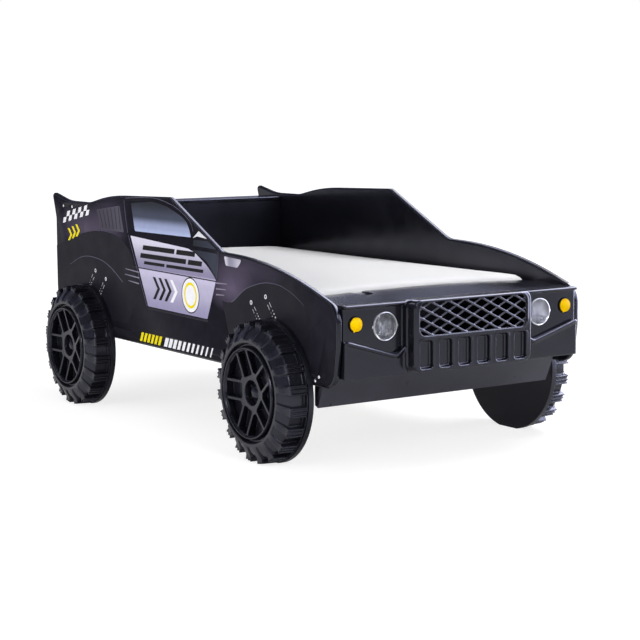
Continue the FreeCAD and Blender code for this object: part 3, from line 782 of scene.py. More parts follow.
STUDIO_LAMPS = (
    StudioLamp("far_softbox", (0.45, 2.1, 3.0), (0.2, -0.2, 0.5), (3.0, 1.6), 84.0),
    StudioLamp("rear_glints", (-1.5, 1.45, 2.8), (0.6, -0.465, 0.57), (1.9, 1.5), 44.0, Light.GLINT),
    StudioLamp("tyre_glints", (2.8, 0.0, 2.4), (0.6, -0.5, 0.25), (1.4, 1.4), 24.0, Light.GLINT),
    StudioLamp("top_glints", (1.4, 1.9, 3.0), (1.0, 0.0, 0.45), (3.0, 1.9), 140.0, Light.GLINT),
    StudioLamp("far_glints", (1.2, 3.0, 1.5), (1.2, 0.0, 1.4), (4.0, 3.0), 380.0, Light.GLINT),
    StudioLamp("front_glints", (3.4, 2.0, 1.9), (1.0, 0.2, 0.4), (1.6, 1.6), 32.0, Light.GLINT),
    StudioLamp("side_strip", (-1.2, -1.7, 3.0), (0.0, -0.4, 0.6), (3.4, 0.35), 14.0),
    StudioLamp("side_fill", (0.2, -4.2, 1.0), (0.0, -0.475, 0.5), (4.0, 1.6), 130.0, Light.FILL),
    StudioLamp("front_key", (3.8, -0.8, 2.0), (1.0, 0.0, 0.4), (1.2, 0.9), 46.0),
    StudioLamp("front_fill", (4.2, -0.4, 0.38), (1.0, 0.0, 0.40), (2.0, 0.5), 30.0, Light.FILL),
)


@dataclass(frozen=True)
class Studio:
    """Pale floor, soft lamps and a camera at the photograph's angle."""

    floor_half: float = 30.0
    floor_cells: int = 8
    floor_drop: float = 0.0005
    floor_colour: Colour = (0.42, 0.42, 0.43)
    floor_rough: float = 0.9
    shown_glow: Point2 = (0.76, 1.0)
    shown_reach: Point2 = (1.6, 4.2)
    # Painted shadow of the bed on the floor, seen only in reflections: glow inside and past it, its reach,
    # and the half size of its box.
    painted_shadow_glow: Point2 = (0.12, 0.62)
    painted_shadow_reach: Point2 = (0.0, 0.3)
    painted_shadow_half: Point3 = (0.95, 0.45, 1.0)
    fill_colour: Colour = (0.97, 0.98, 1.0)
    fill_strength: float = 0.26
    horizon: tuple[Stop, ...] = ((0.2, (0.25, 0.26, 0.37)), (0.5, (0.07, 0.073, 0.10)))
    camera_place: Point3 = (4.9072, -3.1694, 1.0802)
    yaw: float = 2.5539
    pitch: float = -0.125
    roll: float = -0.0071
    focal_pixels: float = 1648.0
    image_pixels: float = 640.0
    sensor: float = 36.0
    far_clip: float = 200.0

    @staticmethod
    def reach(graph: Graph, half: Point3) -> Socket:
        """Distance from a box about the origin, zero inside it.

        Args:
            graph: Graph that takes the nodes.
            half: Half of the box's size.

        Returns:
            Socket with the distance.
        """
        vector = graph.place
        for operation, more in (("ABSOLUTE", {}), ("SUBTRACT", {1: half}), ("MAXIMUM", {1: (0.0, 0.0, 0.0)})):
            node = graph.add("ShaderNodeVectorMath", {0: vector, **more}, operation=operation)
            vector = node.outputs["Vector"]
        return graph.add("ShaderNodeVectorMath", {0: vector}, operation="LENGTH").outputs["Value"]

    def floor(self) -> None:
        """Wide pale floor that keeps a faint shadow, looks white to the camera, shows a painted shadow of the
        bed in reflections and is clear from below.
        """
        Bench.clear()
        bpy.ops.mesh.primitive_grid_add(x_subdivisions=self.floor_cells, y_subdivisions=self.floor_cells,
                                        size=2 * self.floor_half, location=(0, 0, -self.floor_drop))
        floor = Bench.name(bpy.context.object, "studio_floor")
        Bench.settle(floor)
        graph = Graph("floor_paint")
        graph.shade({"Base Color": self.floor_colour, "Roughness": self.floor_rough,
                     "Specular IOR Level": 0.0})
        ray = graph.add("ShaderNodeLightPath").outputs
        shown = graph.spread(self.reach(graph, (0.0, 0.0, 0.0)), *self.shown_glow, *self.shown_reach)
        direct = graph.math("MAXIMUM", ray["Is Camera Ray"], ray["Is Transmission Ray"])
        direct = graph.math("MULTIPLY", direct, shown)
        # In glossy rays the floor's glow is painted darker in a box under and around the bed: a painted
        # shadow of the bed.
        outside = self.reach(graph, self.painted_shadow_half)
        mirrored = graph.math("MULTIPLY", ray["Is Glossy Ray"],
                              graph.spread(outside, *self.painted_shadow_glow, *self.painted_shadow_reach))
        strength = graph.math("MAXIMUM", direct, mirrored)
        glow = graph.add("ShaderNodeEmission", {"Color": WHITE, "Strength": strength}).outputs["Emission"]
        paint = graph.add("ShaderNodeAddShader", {0: graph.shader.outputs["BSDF"], 1: glow}).outputs["Shader"]
        back = graph.add("ShaderNodeNewGeometry").outputs["Backfacing"]
        clear = graph.add("ShaderNodeBsdfTransparent").outputs["BSDF"]
        seen = graph.add("ShaderNodeMixShader", {0: back, 1: paint, 2: clear}).outputs["Shader"]
        graph.feed(graph.output.inputs["Surface"], seen)
        floor.data.materials.append(graph.material)

    def world(self) -> None:
        """White surroundings for the camera, a dim horizon in glossy surfaces and an even fill light."""
        world = bpy.data.worlds.new("studio")
        bpy.context.scene.world = world
        world.use_nodes = True
        nodes = Nodes(world.node_tree)
        ray = nodes.add("ShaderNodeLightPath").outputs
        direction = nodes.add("ShaderNodeTexCoord").outputs["Generated"]
        height = nodes.add("ShaderNodeSeparateXYZ", {"Vector": direction}).outputs["Z"]
        horizon = nodes.ramp(height, self.horizon)
        fill = {"Color": self.fill_colour, "Strength": self.fill_strength}
        shown = nodes.add("ShaderNodeBackground", fill).outputs["Background"]
        views = (("Is Glossy Ray", horizon), ("Is Camera Ray", WHITE), ("Is Transmission Ray", WHITE))
        for kind, colour in views:
            light = nodes.add("ShaderNodeBackground", {"Color": colour, "Strength": 1.0})
            inputs = {0: ray[kind], 1: shown, 2: light.outputs["Background"]}
            shown = nodes.add("ShaderNodeMixShader", inputs).outputs["Shader"]
        nodes.add("ShaderNodeOutputWorld", {"Surface": shown})

    def camera(self) -> None:
        """Camera with the photograph's place, turn and lens."""
        ahead = math.cos(self.pitch)
        forward = Vector((ahead * math.cos(self.yaw), ahead * math.sin(self.yaw), math.sin(self.pitch)))
        level = Vector((math.sin(self.yaw), -math.cos(self.yaw), 0.0))
        upright = level.cross(forward)
        right = math.cos(self.roll) * level + math.sin(self.roll) * upright
        up = math.cos(self.roll) * upright - math.sin(self.roll) * level
        data = bpy.data.cameras.new("camera")
        data.sensor_fit = "HORIZONTAL"
        data.sensor_width = self.sensor
        data.lens = self.focal_pixels / self.image_pixels * self.sensor
        data.clip_end = self.far_clip
        camera = bpy.data.objects.new("camera", data)
        turn = Matrix((right, up, -forward)).transposed().to_4x4()
        camera.matrix_world = Matrix.Translation(self.camera_place) @ turn
        bpy.context.scene.collection.objects.link(camera)
        bpy.context.scene.camera = camera

    def build(self) -> None:
        """Set the whole stage."""
        bpy.context.scene.view_settings.view_transform = "Standard"
        self.floor()
        self.world()
        for lamp in STUDIO_LAMPS:
            lamp.hang()
        self.camera()


class Palette:
    """Finishes of the bed, each built once, and how they go on its pieces."""

    def __init__(self) -> None:
        """Start with no material built."""
        self.built: dict[str, bpy.types.Material] = {}

    def get(self, finish: Finish) -> bpy.types.Material:
        """Material of a finish.

        Args:
            finish: Finish to look up or build.

        Returns:
            Its material.
        """
        if finish.name not in self.built:
            self.built[finish.name] = finish.make()
        return self.built[finish.name]

    def dress_node(self, node: str, finish: Finish) -> None:
        """Give a frame node's material slots a finish."""
        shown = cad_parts[node]
        if not shown.material_slots:
            shown.data.materials.append(None)
        for place in shown.material_slots:
            place.material = self.get(finish)

    def fit(self, piece: Piece, finish: Finish, slot: str, *nodes: str, body: Body = Body.BEDSTEAD) -> None:
        """Dress a piece all over, let it ride on a body, and hide the nodes it stands for.

        Args:
            piece: Finished piece.
            finish: Its finish.
            slot: Not used.
            *nodes: Frame nodes that it replaces.
            body: Body that it moves with.
        """
        piece.data.materials.clear()
        piece.data.materials.append(self.get(finish))
        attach(piece, body.value)
        if nodes:
            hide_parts(*nodes)
        LOG.info("%s: %d faces", piece.name, len(piece.data.polygons))

    def ease(self, node: str, width: float, finish: Finish, slot: str, segments: int = 2) -> Piece:
        """Put a rounded and dressed copy in a frame node's place.

        Args:
            node: Name of the node.
            width: Width of the rounding.
            finish: Finish of the copy.
            slot: Slot of the record that it takes its finish from.
            segments: Steps of the rounding.

        Returns:
            The copy.
        """
        piece = Bench.eased(node, width, segments)
        self.fit(piece, finish, slot, node)
        return piece


COOL = (0.80, 0.81, 1.0)
PANEL_LACQUER = Finish("panel_lacquer", (0.004, 0.0042, 0.006), 0.20, grain_scale=420.0, grain_depth=0.00003,
                       gloss_tint=COOL, edge=0.004)
BOARD_LACQUER = replace(PANEL_LACQUER, name="board_lacquer", rough=0.32, grain_depth=0.00004, edge=0.0)
# Lighter copy of the board lacquer for the skid board: painted light, raised to stand in for the bright floor
# it faces and reflects.
SKID_LIT_COPY = replace(BOARD_LACQUER, name="skid_lacquer", colour=(0.042, 0.0405, 0.052))
# Darker, less glossy copy of the board lacquer for the rear panel under the shelf: painted shade.
BOARD_SHADE_COPY = replace(BOARD_LACQUER, name="board_dull", colour=(0.003, 0.0034, 0.005), rough=0.38,
                     specular=0.16)
PINE = Timber("base_wood_across", (0.70, 0.51, 0.30), 0.55, grain_depth=0.0002)
PINE_LONG = replace(PINE, name="base_wood_along", colour=(0.68, 0.49, 0.29), along=Axis.X)
COVER = Knit("mattress_cloth", (0.82, 0.82, 0.84), 0.85, specular=0.0, mottle=0.02, mottle_scale=5.0,
             mottle_detail=5.0, grain_depth=0.0002)
BUMPER_PLASTIC = Finish("bumper_plastic", (0.005, 0.0053, 0.0075), 0.16, rough_spread=0.03,
                        grain_scale=1300.0, grain_depth=0.000006, gloss_tint=COOL, edge=0.005)
MESH_PAINT = Finish("mesh_metal", (0.006, 0.0062, 0.008), 0.11, specular=1.0, rough_spread=0.03,
                    grain_depth=0.00001, gloss_tint=COOL, edge=0.003)
TYRE_PLASTIC = Finish("tyre_plastic", (0.007, 0.0073, 0.010), 0.22, mottle=0.25, grain_scale=1400.0,
                      grain_depth=0.0001, rough_spread=0.07, gloss_tint=COOL, edge=0.006)
RIM_PLASTIC = Finish("rim_plastic", (0.006, 0.0063, 0.009), 0.28, mottle=0.2, grain_scale=1400.0,
                     grain_depth=0.00008, rough_spread=0.06, gloss_tint=COOL, edge=0.003)
LENS = Clear("clear_lens", (0.95, 0.96, 0.98), 0.04, mottle=0.03, mottle_scale=30.0, mottle_detail=3.0,
             grain_depth=0.0014)
LENS_RIM = Finish("lens_rim", (0.62, 0.63, 0.66), 0.16, metallic=0.6, mottle=0.05, grain_scale=500.0,
                  grain_depth=0.00005)
MIRROR = Finish("reflector", (0.23, 0.23, 0.26), 0.5, metallic=1.0, mottle=0.45, mottle_scale=170.0,
                grain_scale=260.0, grain_depth=0.0006)
AMBER = Finish("amber_lens", (1.0, 0.60, 0.0005), 0.45, specular=0.03, mottle=0.05, mottle_scale=60.0,
               grain_scale=500.0, grain_depth=0.00012)
# Matte near-black ring round each indicator: painted shade, standing in for the shaded gap between the lens
# and the bumper.
GAP_SHADE_RUBBER = Finish("gap_shade_rubber", (0.002, 0.002, 0.0024), 0.6, specular=0.12, grain_scale=1500.0)
# Lighter, less metallic copy of the steel for the seen screw heads: partly the steel's own pale colour,
# partly a painted highlight.
STEEL_PAINTED_GLINT = Finish("pale_steel", (0.80, 0.80, 0.82), 0.35, metallic=0.25, mottle=0.06, mottle_scale=160.0,
                    grain_scale=1500.0, grain_depth=0.00005)
ZINC = Finish("steel", (0.55, 0.55, 0.57), 0.30, metallic=1.0, mottle=0.1, mottle_scale=120.0,
              rough_spread=0.1, grain_scale=1500.0, grain_depth=0.00005)

LAVENDER = (0.110, 0.088, 0.140)
FILM_DARK = (0.0088, 0.0082, 0.0125)
PRINT = {"specular": 0.12, "grain_scale": 2200.0, "grain_depth": 0.00002}
GLOWS = (
    Zone((-0.70, 0.655), (0.30, 0.095), LAVENDER, 0.62),
    Zone((-0.52, 0.690), (0.16, 0.12), LAVENDER, 0.35),
    Zone((0.345, 0.520), (0.17, 0.085), LAVENDER, 0.95),
    Zone((0.42, 0.590), (0.26, 0.062), LAVENDER, 0.45),
)
FILM = ZonedFilm("print_film", FILM_DARK, 0.5, mottle=0.2, mottle_scale=30.0, gloss_tint=COOL, zones=GLOWS,
                 **PRINT)


def film(name: str, colour: Colour, rough: float = 0.5) -> Finish:
    """Finish of an even printed ink.

    Args:
        name: Name of the ink.
        colour: Its colour.
        rough: Its roughness.

    Returns:
        The finish.
    """
    return Finish(name, colour, rough, mottle=0.06, mottle_scale=40.0, **PRINT)


def fade(name: str, start_at: Point2, end_at: Point2, *stops: Stop) -> Fade:
    """Finish of a printed ink that fades.

    Args:
        name: Name of the ink.
        start_at: Where the fade starts, in the side view.
        end_at: Where it ends.
        *stops: Shares along the fade and their colours.

    Returns:
        The finish.
    """
    return Fade(name, stops[0][1], 0.5, mottle=0.08, mottle_scale=40.0, start_at=start_at, end_at=end_at,
                stops=stops, **PRINT)


INK_BLACK = film("ink_black", (0.005, 0.005, 0.006))
INK_WHITE = film("ink_white", (0.80, 0.80, 0.84))
INK_YELLOW = film("ink_yellow", (0.80, 0.66, 0.004))
INK_LINE = film("ink_line", (0.085, 0.080, 0.115))
INK_SEAM = film("ink_seam", (0.016, 0.016, 0.021))
INK_GILL = film("ink_gill", (0.22, 0.20, 0.27))
INK_ARCH = film("ink_arch", FILM_DARK)
INK_CHROME = film("ink_chrome", (0.62, 0.62, 0.68), 0.35)
INK_VENT = fade("ink_vent", (-0.56, 0.66), (-0.43, 0.75), (0.0, (0.055, 0.048, 0.068)),
                (1.0, (0.072, 0.068, 0.09)))
INK_GLASS = fade("ink_glass", (0.0, 0.668), (0.0, 0.772), (0.0, (0.40, 0.46, 0.68)),
                 (0.22, (0.30, 0.34, 0.52)), (0.55, (0.05, 0.058, 0.09)), (1.0, (0.018, 0.02, 0.028)))
INK_DOOR = fade("ink_door", (-0.2, 0.41), (-0.2, 0.65), (0.0, (0.30, 0.28, 0.43)), (0.38, (0.46, 0.43, 0.58)),
                (0.52, (0.55, 0.51, 0.68)), (0.56, (0.24, 0.22, 0.34)), (1.0, (0.66, 0.63, 0.76)))
INK_QUARTER = fade("ink_quarter", (0.09, 0.60), (0.26, 0.60), (0.0, (0.012, 0.014, 0.02)),
                   (1.0, (0.035, 0.04, 0.06)))
INK_LAMP = fade("ink_lamp", (0.31, 0.60), (0.41, 0.61), (0.0, (0.62, 0.60, 0.68)), (0.3, (0.25, 0.24, 0.32)),
                (1.0, (0.50, 0.48, 0.58)))


@dataclass(frozen=True)
class Shape:
    """Printed shape in a panel's side view, in millimetres from its rear edge and from the floor."""

    corners: tuple[Point2, ...]
    ease: float = 0.0


def curve(points: Sequence[Point2], steps: int = 6) -> list[Point2]:
    """Smooth line through points.

    Args:
        points: Points that the line passes.
        steps: Steps between two points.

    Returns:
        Points along the smooth line.
    """
    ends = [points[0], *points, points[-1]]
    line = []
    for a, b, c, d in zip(ends, ends[1:], ends[2:], ends[3:]):
        for step in range(steps):
            t = step / steps
            line.append(tuple(0.5 * (2 * q + (r - p) * t + (2 * p - 5 * q + 4 * r - s) * t * t
                                     + (3 * q - p - 3 * r + s) * t ** 3) for p, q, r, s in zip(a, b, c, d)))
    return line + [points[-1]]


def strip(points: Sequence[Point2], width: float, tip: float | None = None) -> Shape:
    """Band of a width along a line.

    Args:
        points: Points of the line.
        width: Width at the start.
        tip: Width at the end, the same as at the start if left out.

    Returns:
        The band.
    """
    tip = width if tip is None else tip
    upper, lower = [], []
    for index, (x, z) in enumerate(points):
        before, after = points[max(index - 1, 0)], points[min(index + 1, len(points) - 1)]
        run = Vector((after[0] - before[0], after[1] - before[1])).normalized()
        half = (width + (tip - width) * index / (len(points) - 1)) / 2
        upper.append((x - run.y * half, z + run.x * half))
        lower.append((x + run.y * half, z - run.x * half))
    return Shape(tuple(upper + lower[::-1]))


def slash(x: float, z: float, length: float, height: float, lean: float = 0.35) -> Shape:
    """Leaning bar with its lower rear corner at a place."""
    push = height * lean
    return Shape(((x, z), (x + length, z), (x + length + push, z + height), (x + push, z + height)))


def chevron(x: float, z: float, depth: float, height: float, width: float) -> Shape:
    """Arrow-like bar that points forward, with its lower rear corner at a place."""
    return Shape(((x, z), (x + width, z), (x + width + depth, z + height / 2), (x + width, z + height),
                  (x, z + height), (x + depth, z + height / 2)))


def disc(x: float, z: float, radius: float, count: int = 40) -> Shape:
    """Round spot."""
    turns = [math.tau * index / count for index in range(count)]
    return Shape(tuple((x + radius * math.cos(turn), z + radius * math.sin(turn)) for turn in turns))


@dataclass(frozen=True)
class Layer:
    """Shapes of one ink, and the height of their tops above the panel, in millimetres."""

    name: str
    ink: Finish
    height: float
    shapes: tuple[Shape, ...]


@dataclass
class SidePanels:
    """The two side panels cut to a car's profile, with the printed livery on their outer faces."""

    palette: Palette
    rear_edge: float = -0.9855
    film_thickness: float = 0.0002
    film_merge: float = 0.000001
    film_flat_degrees: float = 1.0
    outer_normal: float = 0.999
    edge: float = 0.0022
    edge_steps: int = 3
    corner_steps: int = 4
    legs: tuple[tuple[Point2, Point2], ...] = (((344, 504), (285, 437)), ((428, 479), (369, 413)),
                                               ((1456, 486), (1503, 431)), ((1543, 512), (1598, 445)))
    eye: float = 7.5
    eye_points: int = 24
    pupil: float = 3.4
    pupil_points: int = 20
    rail_shares: Point2 = (0.30, 0.52)
    rail_reach: float = 7.0
    rail_widths: Point2 = (2.2, 1.2)
    dots: tuple[Point2, ...] = ((0.66, 1.8), (0.80, 2.6), (0.95, 3.0))
    dot_reach: float = 6.5
    dot_points: int = 14
    small_dot_share: float = 0.6
    roundel: Point2 = (1064, 474)

    def damper(self, top: Point2, foot: Point2) -> list[Shape]:
        """Printed spring leg: an eye, two short rails and rows of dots.

        Args:
            top: Upper eye.
            foot: Lower end.

        Returns:
            Its shapes.
        """
        run = Vector((foot[0] - top[0], foot[1] - top[1]))
        across = Vector((-run.y, run.x)).normalized()
        shapes = [disc(*top, self.eye, self.eye_points)]
        for side in (-1, 1):
            rail = [Vector(top) + run * share + across * side * self.rail_reach for share in self.rail_shares]
            shapes.append(strip([tuple(point) for point in rail], *self.rail_widths))
            for share, radius in self.dots:
                dot = Vector(top) + run * share + across * side * self.dot_reach
                size = radius if side > 0 else radius * self.small_dot_share
                shapes.append(disc(dot.x, dot.y, size, self.dot_points))
        return shapes

    def chequers(self, start: Point2, step: Point2, rise: Point2, columns: int, rows: int) -> list[Shape]:
        """Every second cell of a leaning chequer board.

        Args:
            start: Lower rear corner.
            step: One cell along.
            rise: One cell up.
            columns: Cells along.
            rows: Cells up.

        Returns:
            The filled cells.
        """
        shapes = []
        for column in range(columns):
            for row in range(column % 2, rows, 2):
                cell = ((column, row), (column + 1, row), (column + 1, row + 1), (column, row + 1))
                shapes.append(Shape(tuple((start[0] + along * step[0] + up * rise[0],
                                           start[1] + along * step[1] + up * rise[1]) for along, up in cell)))
        return shapes

    def body_layers(self) -> list[Layer]:
        """Printed car body: arches, glass, door, vents, gills and lamps.

        Returns:
            Layers from the panel outwards.
        """
        rear_flare = curve([(8, 578), (90, 600), (202, 629), (300, 647), (398, 654), (480, 650), (542, 639),
                            (600, 612), (639, 580)])
        front_flare = curve([(1273, 477), (1333, 476), (1414, 522), (1470, 541), (1536, 555), (1600, 556),
                             (1645, 550), (1710, 530), (1764, 503)])
        arches = (Shape((*rear_flare, (690, 440), (600, 330), (60, 330), (8, 420))),
                  Shape((*front_flare, (1790, 420), (1720, 330), (1330, 330))))
        glass = ((642, 767), (668, 669), (1073, 670), (1062, 697), (1045, 720), (1015, 735), (979, 747),
                 (913, 765), (860, 773), (801, 778))
        door = ((634, 651), (1053, 631), (1097, 621), (1132, 605), (1168, 588), (1197, 570), (1219, 554),
                (1236, 538), (1176, 405), (758, 409))
        quarter = (Shape(((1079, 630), (1245, 626), (1242, 547), (1178, 595)), 4.0),
                   Shape(((1090, 664), (1186, 664), (1240, 640), (1086, 643)), 4.0))
        vent = ((366, 732), (551, 754), (582, 659), (397, 661))
        seams = [strip([(388 + 31 * i, 729 + 4 * i), (415 + 28 * i, 668)], 5.0) for i in range(6)]
        seams += [strip([(636, 541), (1236, 535)], 4.0), strip(curve([(752, 402), (1180, 398)]), 7.0),
                  strip([(1248, 541), (1248, 634)], 5.0)]
        arch_line = curve([(127, 512), (208, 542), (286, 554), (392, 547), (475, 523), (565, 479)])
        roof_line = curve([(600, 783), (800, 792), (930, 776), (1010, 752), (1068, 722), (1090, 690)])
        lines = (strip(curve([(612, 660), (598, 716), (588, 778)]), 3.0),
                 strip([(617, 652), (660, 570), (748, 408)], 3.0), strip(arch_line, 1.5, 4.0),
                 strip(roof_line, 2.5, 2.0), strip([(1242, 545), (1250, 600), (1253, 634)], 2.5),
                 strip(front_flare[6:], 3.0, 1.0))
        gills = [strip([(1236, z), (1262 + 44 * share, z + 2)], 5.0, 2.5)
                 for z, share in ((530, 1.0), (511, 0.85), (492, 0.6))]
        gills += [strip([(692, z - 5), (583 + 109 * (1 - share), z)], 5.0, 2.0)
                  for z, share in ((529, 0.95), (509, 1.0), (488, 0.75))]
        mirror = Shape(((1127, 694), (1087, 669), (1118, 676), (1181, 671)), 2.0)
        dampers = [shape for top, foot in self.legs for shape in self.damper(top, foot)]
        lamp = Shape(((1291, 622), (1398, 617), (1393, 607), (1374, 590), (1301, 592)), 6.0)
        return [
            Layer("arches", INK_ARCH, 0.30, arches),
            Layer("glass", INK_GLASS, 0.34, (Shape(glass, 6.0),)),
            Layer("door", INK_DOOR, 0.34, (Shape(door, 3.0),)),
            Layer("quarter", INK_QUARTER, 0.34, quarter),
            Layer("vent", INK_VENT, 0.34, (Shape(vent, 6.0),)),
            Layer("seams", INK_SEAM, 0.46, tuple(seams)),
            Layer("lines", INK_LINE, 0.50, lines),
            Layer("gills", INK_GILL, 0.50, tuple(gills)),
            Layer("chrome", INK_CHROME, 0.50, (mirror, *dampers)),
            Layer("lamp", INK_LAMP, 0.50, (lamp,)),
        ]

    def decal_layers(self) -> list[Layer]:
        """Plain race stripes, chevrons, chequers and a blank roundel.

        Returns:
            Layers from the panel outwards.
        """
        stripes = [slash(724, 606, 230, 17), slash(968, 606, 128, 17), slash(704, 577, 330, 17),
                   slash(1048, 577, 94, 17), slash(732, 556, 150, 11), slash(896, 556, 255, 11)]
        arrows = [chevron(796 + 42 * i, 438, 34, 78, 19) for i in range(4)]
        pupils = [disc(*top, self.pupil, self.pupil_points) for top, _ in self.legs]
        flag = self.chequers((70, 668), (25, 4.5), (9, 21), 9, 2)
        bars = [slash(868 + 32 * i, 279, 24 - 1.6 * i, 32, 0.5) for i in range(11)]
        rear = [chevron(112 + 34 * i, 604 + 9 * i, 22, 46, 16) for i in range(3)]
        sill = [slash(690 + 27 * i, 279, 17, 32, 0.5) for i in range(6)]
        black, white, yellow, middle = (disc(*self.roundel, radius) for radius in (61, 57, 44, 35))
        return [
            Layer("dark_marks", INK_BLACK, 0.56, (*stripes, *arrows[:3], black, *pupils)),
            Layer("white_marks", INK_WHITE, 0.60, (*flag, *bars, white, arrows[3])),
            Layer("yellow_marks", INK_YELLOW, 0.64, (*rear, *sill, yellow)),
            Layer("roundel", INK_WHITE, 0.68, (middle,)),
        ]

    def cut_film(self, panel: Piece, side: Side) -> Piece:
        """Film over a panel's flat outer face, cut from a copy of the panel.

        Args:
            panel: Rounded panel.
            side: Side of the panel.

        Returns:
            The film.
        """
        cover = Bench.copy_of(panel, side.word + "_print_film")
        Bench.select_faces(cover, lambda face: face.normal.y * side.value < self.outer_normal)
        bpy.ops.mesh.delete(type="FACE")
        bpy.ops.mesh.select_all(action="SELECT")
        bpy.ops.mesh.dissolve_limited(angle_limit=math.radians(self.film_flat_degrees))
        rise = (0, side.value * self.film_thickness, 0)
        bpy.ops.mesh.extrude_region_move(TRANSFORM_OT_translate={"value": rise})
        Bench.tidy(cover, self.film_merge)
        return cover

    def print_shape(self, shape: Shape, side: Side, height: float) -> Piece:
        """Thin raised layer of ink.

        Args:
            shape: Outline in the side view.
            side: Side of the panel.
            height: Height of its top above the panel, in millimetres.

        Returns:
            The layer.
        """
        depth = side.value * (PANEL_FACE + self.film_thickness / 2)
        rise = (0, side.value * (PANEL_FACE + height * MM) - depth, 0)
        points = [(self.rear_edge + x * MM, depth, z * MM) for x, z in shape.corners]
        piece = Bench.outline(points, "print", "NGON")
        Bench.edit(piece)
        if shape.ease > 0:
            bpy.ops.mesh.bevel(offset=shape.ease * MM, segments=self.corner_steps, affect="VERTICES")
            bpy.ops.mesh.select_all(action="SELECT")
        bpy.ops.mesh.extrude_region_move(TRANSFORM_OT_translate={"value": rise})
        bpy.ops.mesh.select_all(action="SELECT")
        Bench.outwards()
        return piece

    def build(self) -> None:
        """Dress both panels and print their outer faces."""
        for side in Side:
            panel = self.palette.ease(side.word + "_side_panel", self.edge, PANEL_LACQUER, "panel_lacquer",
                                      self.edge_steps)
            self.palette.fit(self.cut_film(panel, side), FILM, "panel_lacquer")
            for layer in self.body_layers() + self.decal_layers():
                pieces = [self.print_shape(shape, side, layer.height) for shape in layer.shapes]
                piece = Bench.join(pieces, "%s_%s_print" % (side.word, layer.name))
                Bench.settle(piece)
                self.palette.fit(piece, layer.ink, "panel_lacquer")


@dataclass
class Boards:
    """Shelf and boards between the panels, and the slatted base."""

    palette: Palette
    edge: float = 0.0012
    slats: int = 13

    def build(self) -> None:
        """Round the boards' edges a little and dress them."""
        for node, finish in (("rear_shelf", PANEL_LACQUER), ("rear_panel", BOARD_SHADE_COPY),
                             ("foot_board", BOARD_LACQUER), ("skid_board", SKID_LIT_COPY),
                             ("skid_cleat_right", BOARD_LACQUER), ("skid_cleat_left", BOARD_LACQUER)):
            self.palette.ease(node, self.edge, finish, "board_lacquer")
        for side in Side:
            self.palette.ease(side.word + "_ledge", self.edge, PINE_LONG, "base_wood")
        for index in range(self.slats):
            self.palette.dress_node("slat_%02d" % (index + 1), PINE)


@dataclass
class Mattress:
    """Foam mattress in a smooth knitted cover, swollen by a cloth simulation."""

    palette: Palette
    merge: float = 0.00001
    inset: float = 0.003
    voxel: float = 0.012
    rounds: int = 2
    round_share: float = 0.5
    pressure: float = 4.0
    quality: int = 4
    cap: float = 0.005
    last_frame: int = 20
    side_bulge: float = 0.002
    smooth_degrees: float = 60.0

    def swell(self, pad: Piece) -> None:
        """Blow the pad up a little as cloth under pressure, and keep each point's move small.

        Args:
            pad: Remeshed pad.
        """
        before = [vertex.co.copy() for vertex in pad.data.vertices]
        Bench.only(pad)
        cloth = pad.modifiers.new("cloth", "CLOTH")
        cloth.settings.use_pressure = True
        cloth.settings.uniform_pressure_force = self.pressure
        cloth.settings.effector_weights.gravity = 0.0
        cloth.settings.quality = self.quality
        cloth.point_cache.frame_start = 1
        cloth.point_cache.frame_end = self.last_frame
        for number in range(1, self.last_frame + 1):
            bpy.context.scene.frame_set(number)
        bpy.ops.object.modifier_apply(modifier=cloth.name)
        bpy.context.scene.frame_set(1)
        for vertex, start in zip(pad.data.vertices, before):
            move = vertex.co - start
            if move.length > self.cap:
                vertex.co = start + move * (self.cap / move.length)

    def build(self) -> None:
        """Shrink a copy of the node, remesh it, swell it and smooth it."""
        pad = Bench.copy_of(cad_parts["mattress"], "mattress_pad")
        Bench.tidy(pad, self.merge)
        low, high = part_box("mattress")
        middle = (low + high) / 2
        size = high - low
        for vertex in pad.data.vertices:
            for axis in range(3):
                share = 1 - 2 * self.inset / size[axis]
                vertex.co[axis] = middle[axis] + (vertex.co[axis] - middle[axis]) * share
        Bench.apply(pad, "REMESH", mode="VOXEL", voxel_size=self.voxel, use_smooth_shade=True)
        Bench.apply(pad, "SMOOTH", factor=self.round_share, iterations=self.rounds)
        self.swell(pad)
        for vertex in pad.data.vertices:
            vertex.co.z = max(vertex.co.z, low.z)
            for axis in (0, 1):
                least, most = low[axis] - self.side_bulge, high[axis] + self.side_bulge
                vertex.co[axis] = min(max(vertex.co[axis], least), most)
        Bench.smooth(pad, self.smooth_degrees)
        self.palette.fit(pad, COVER, "mattress_cloth", "mattress", body=Body.MATTRESS)


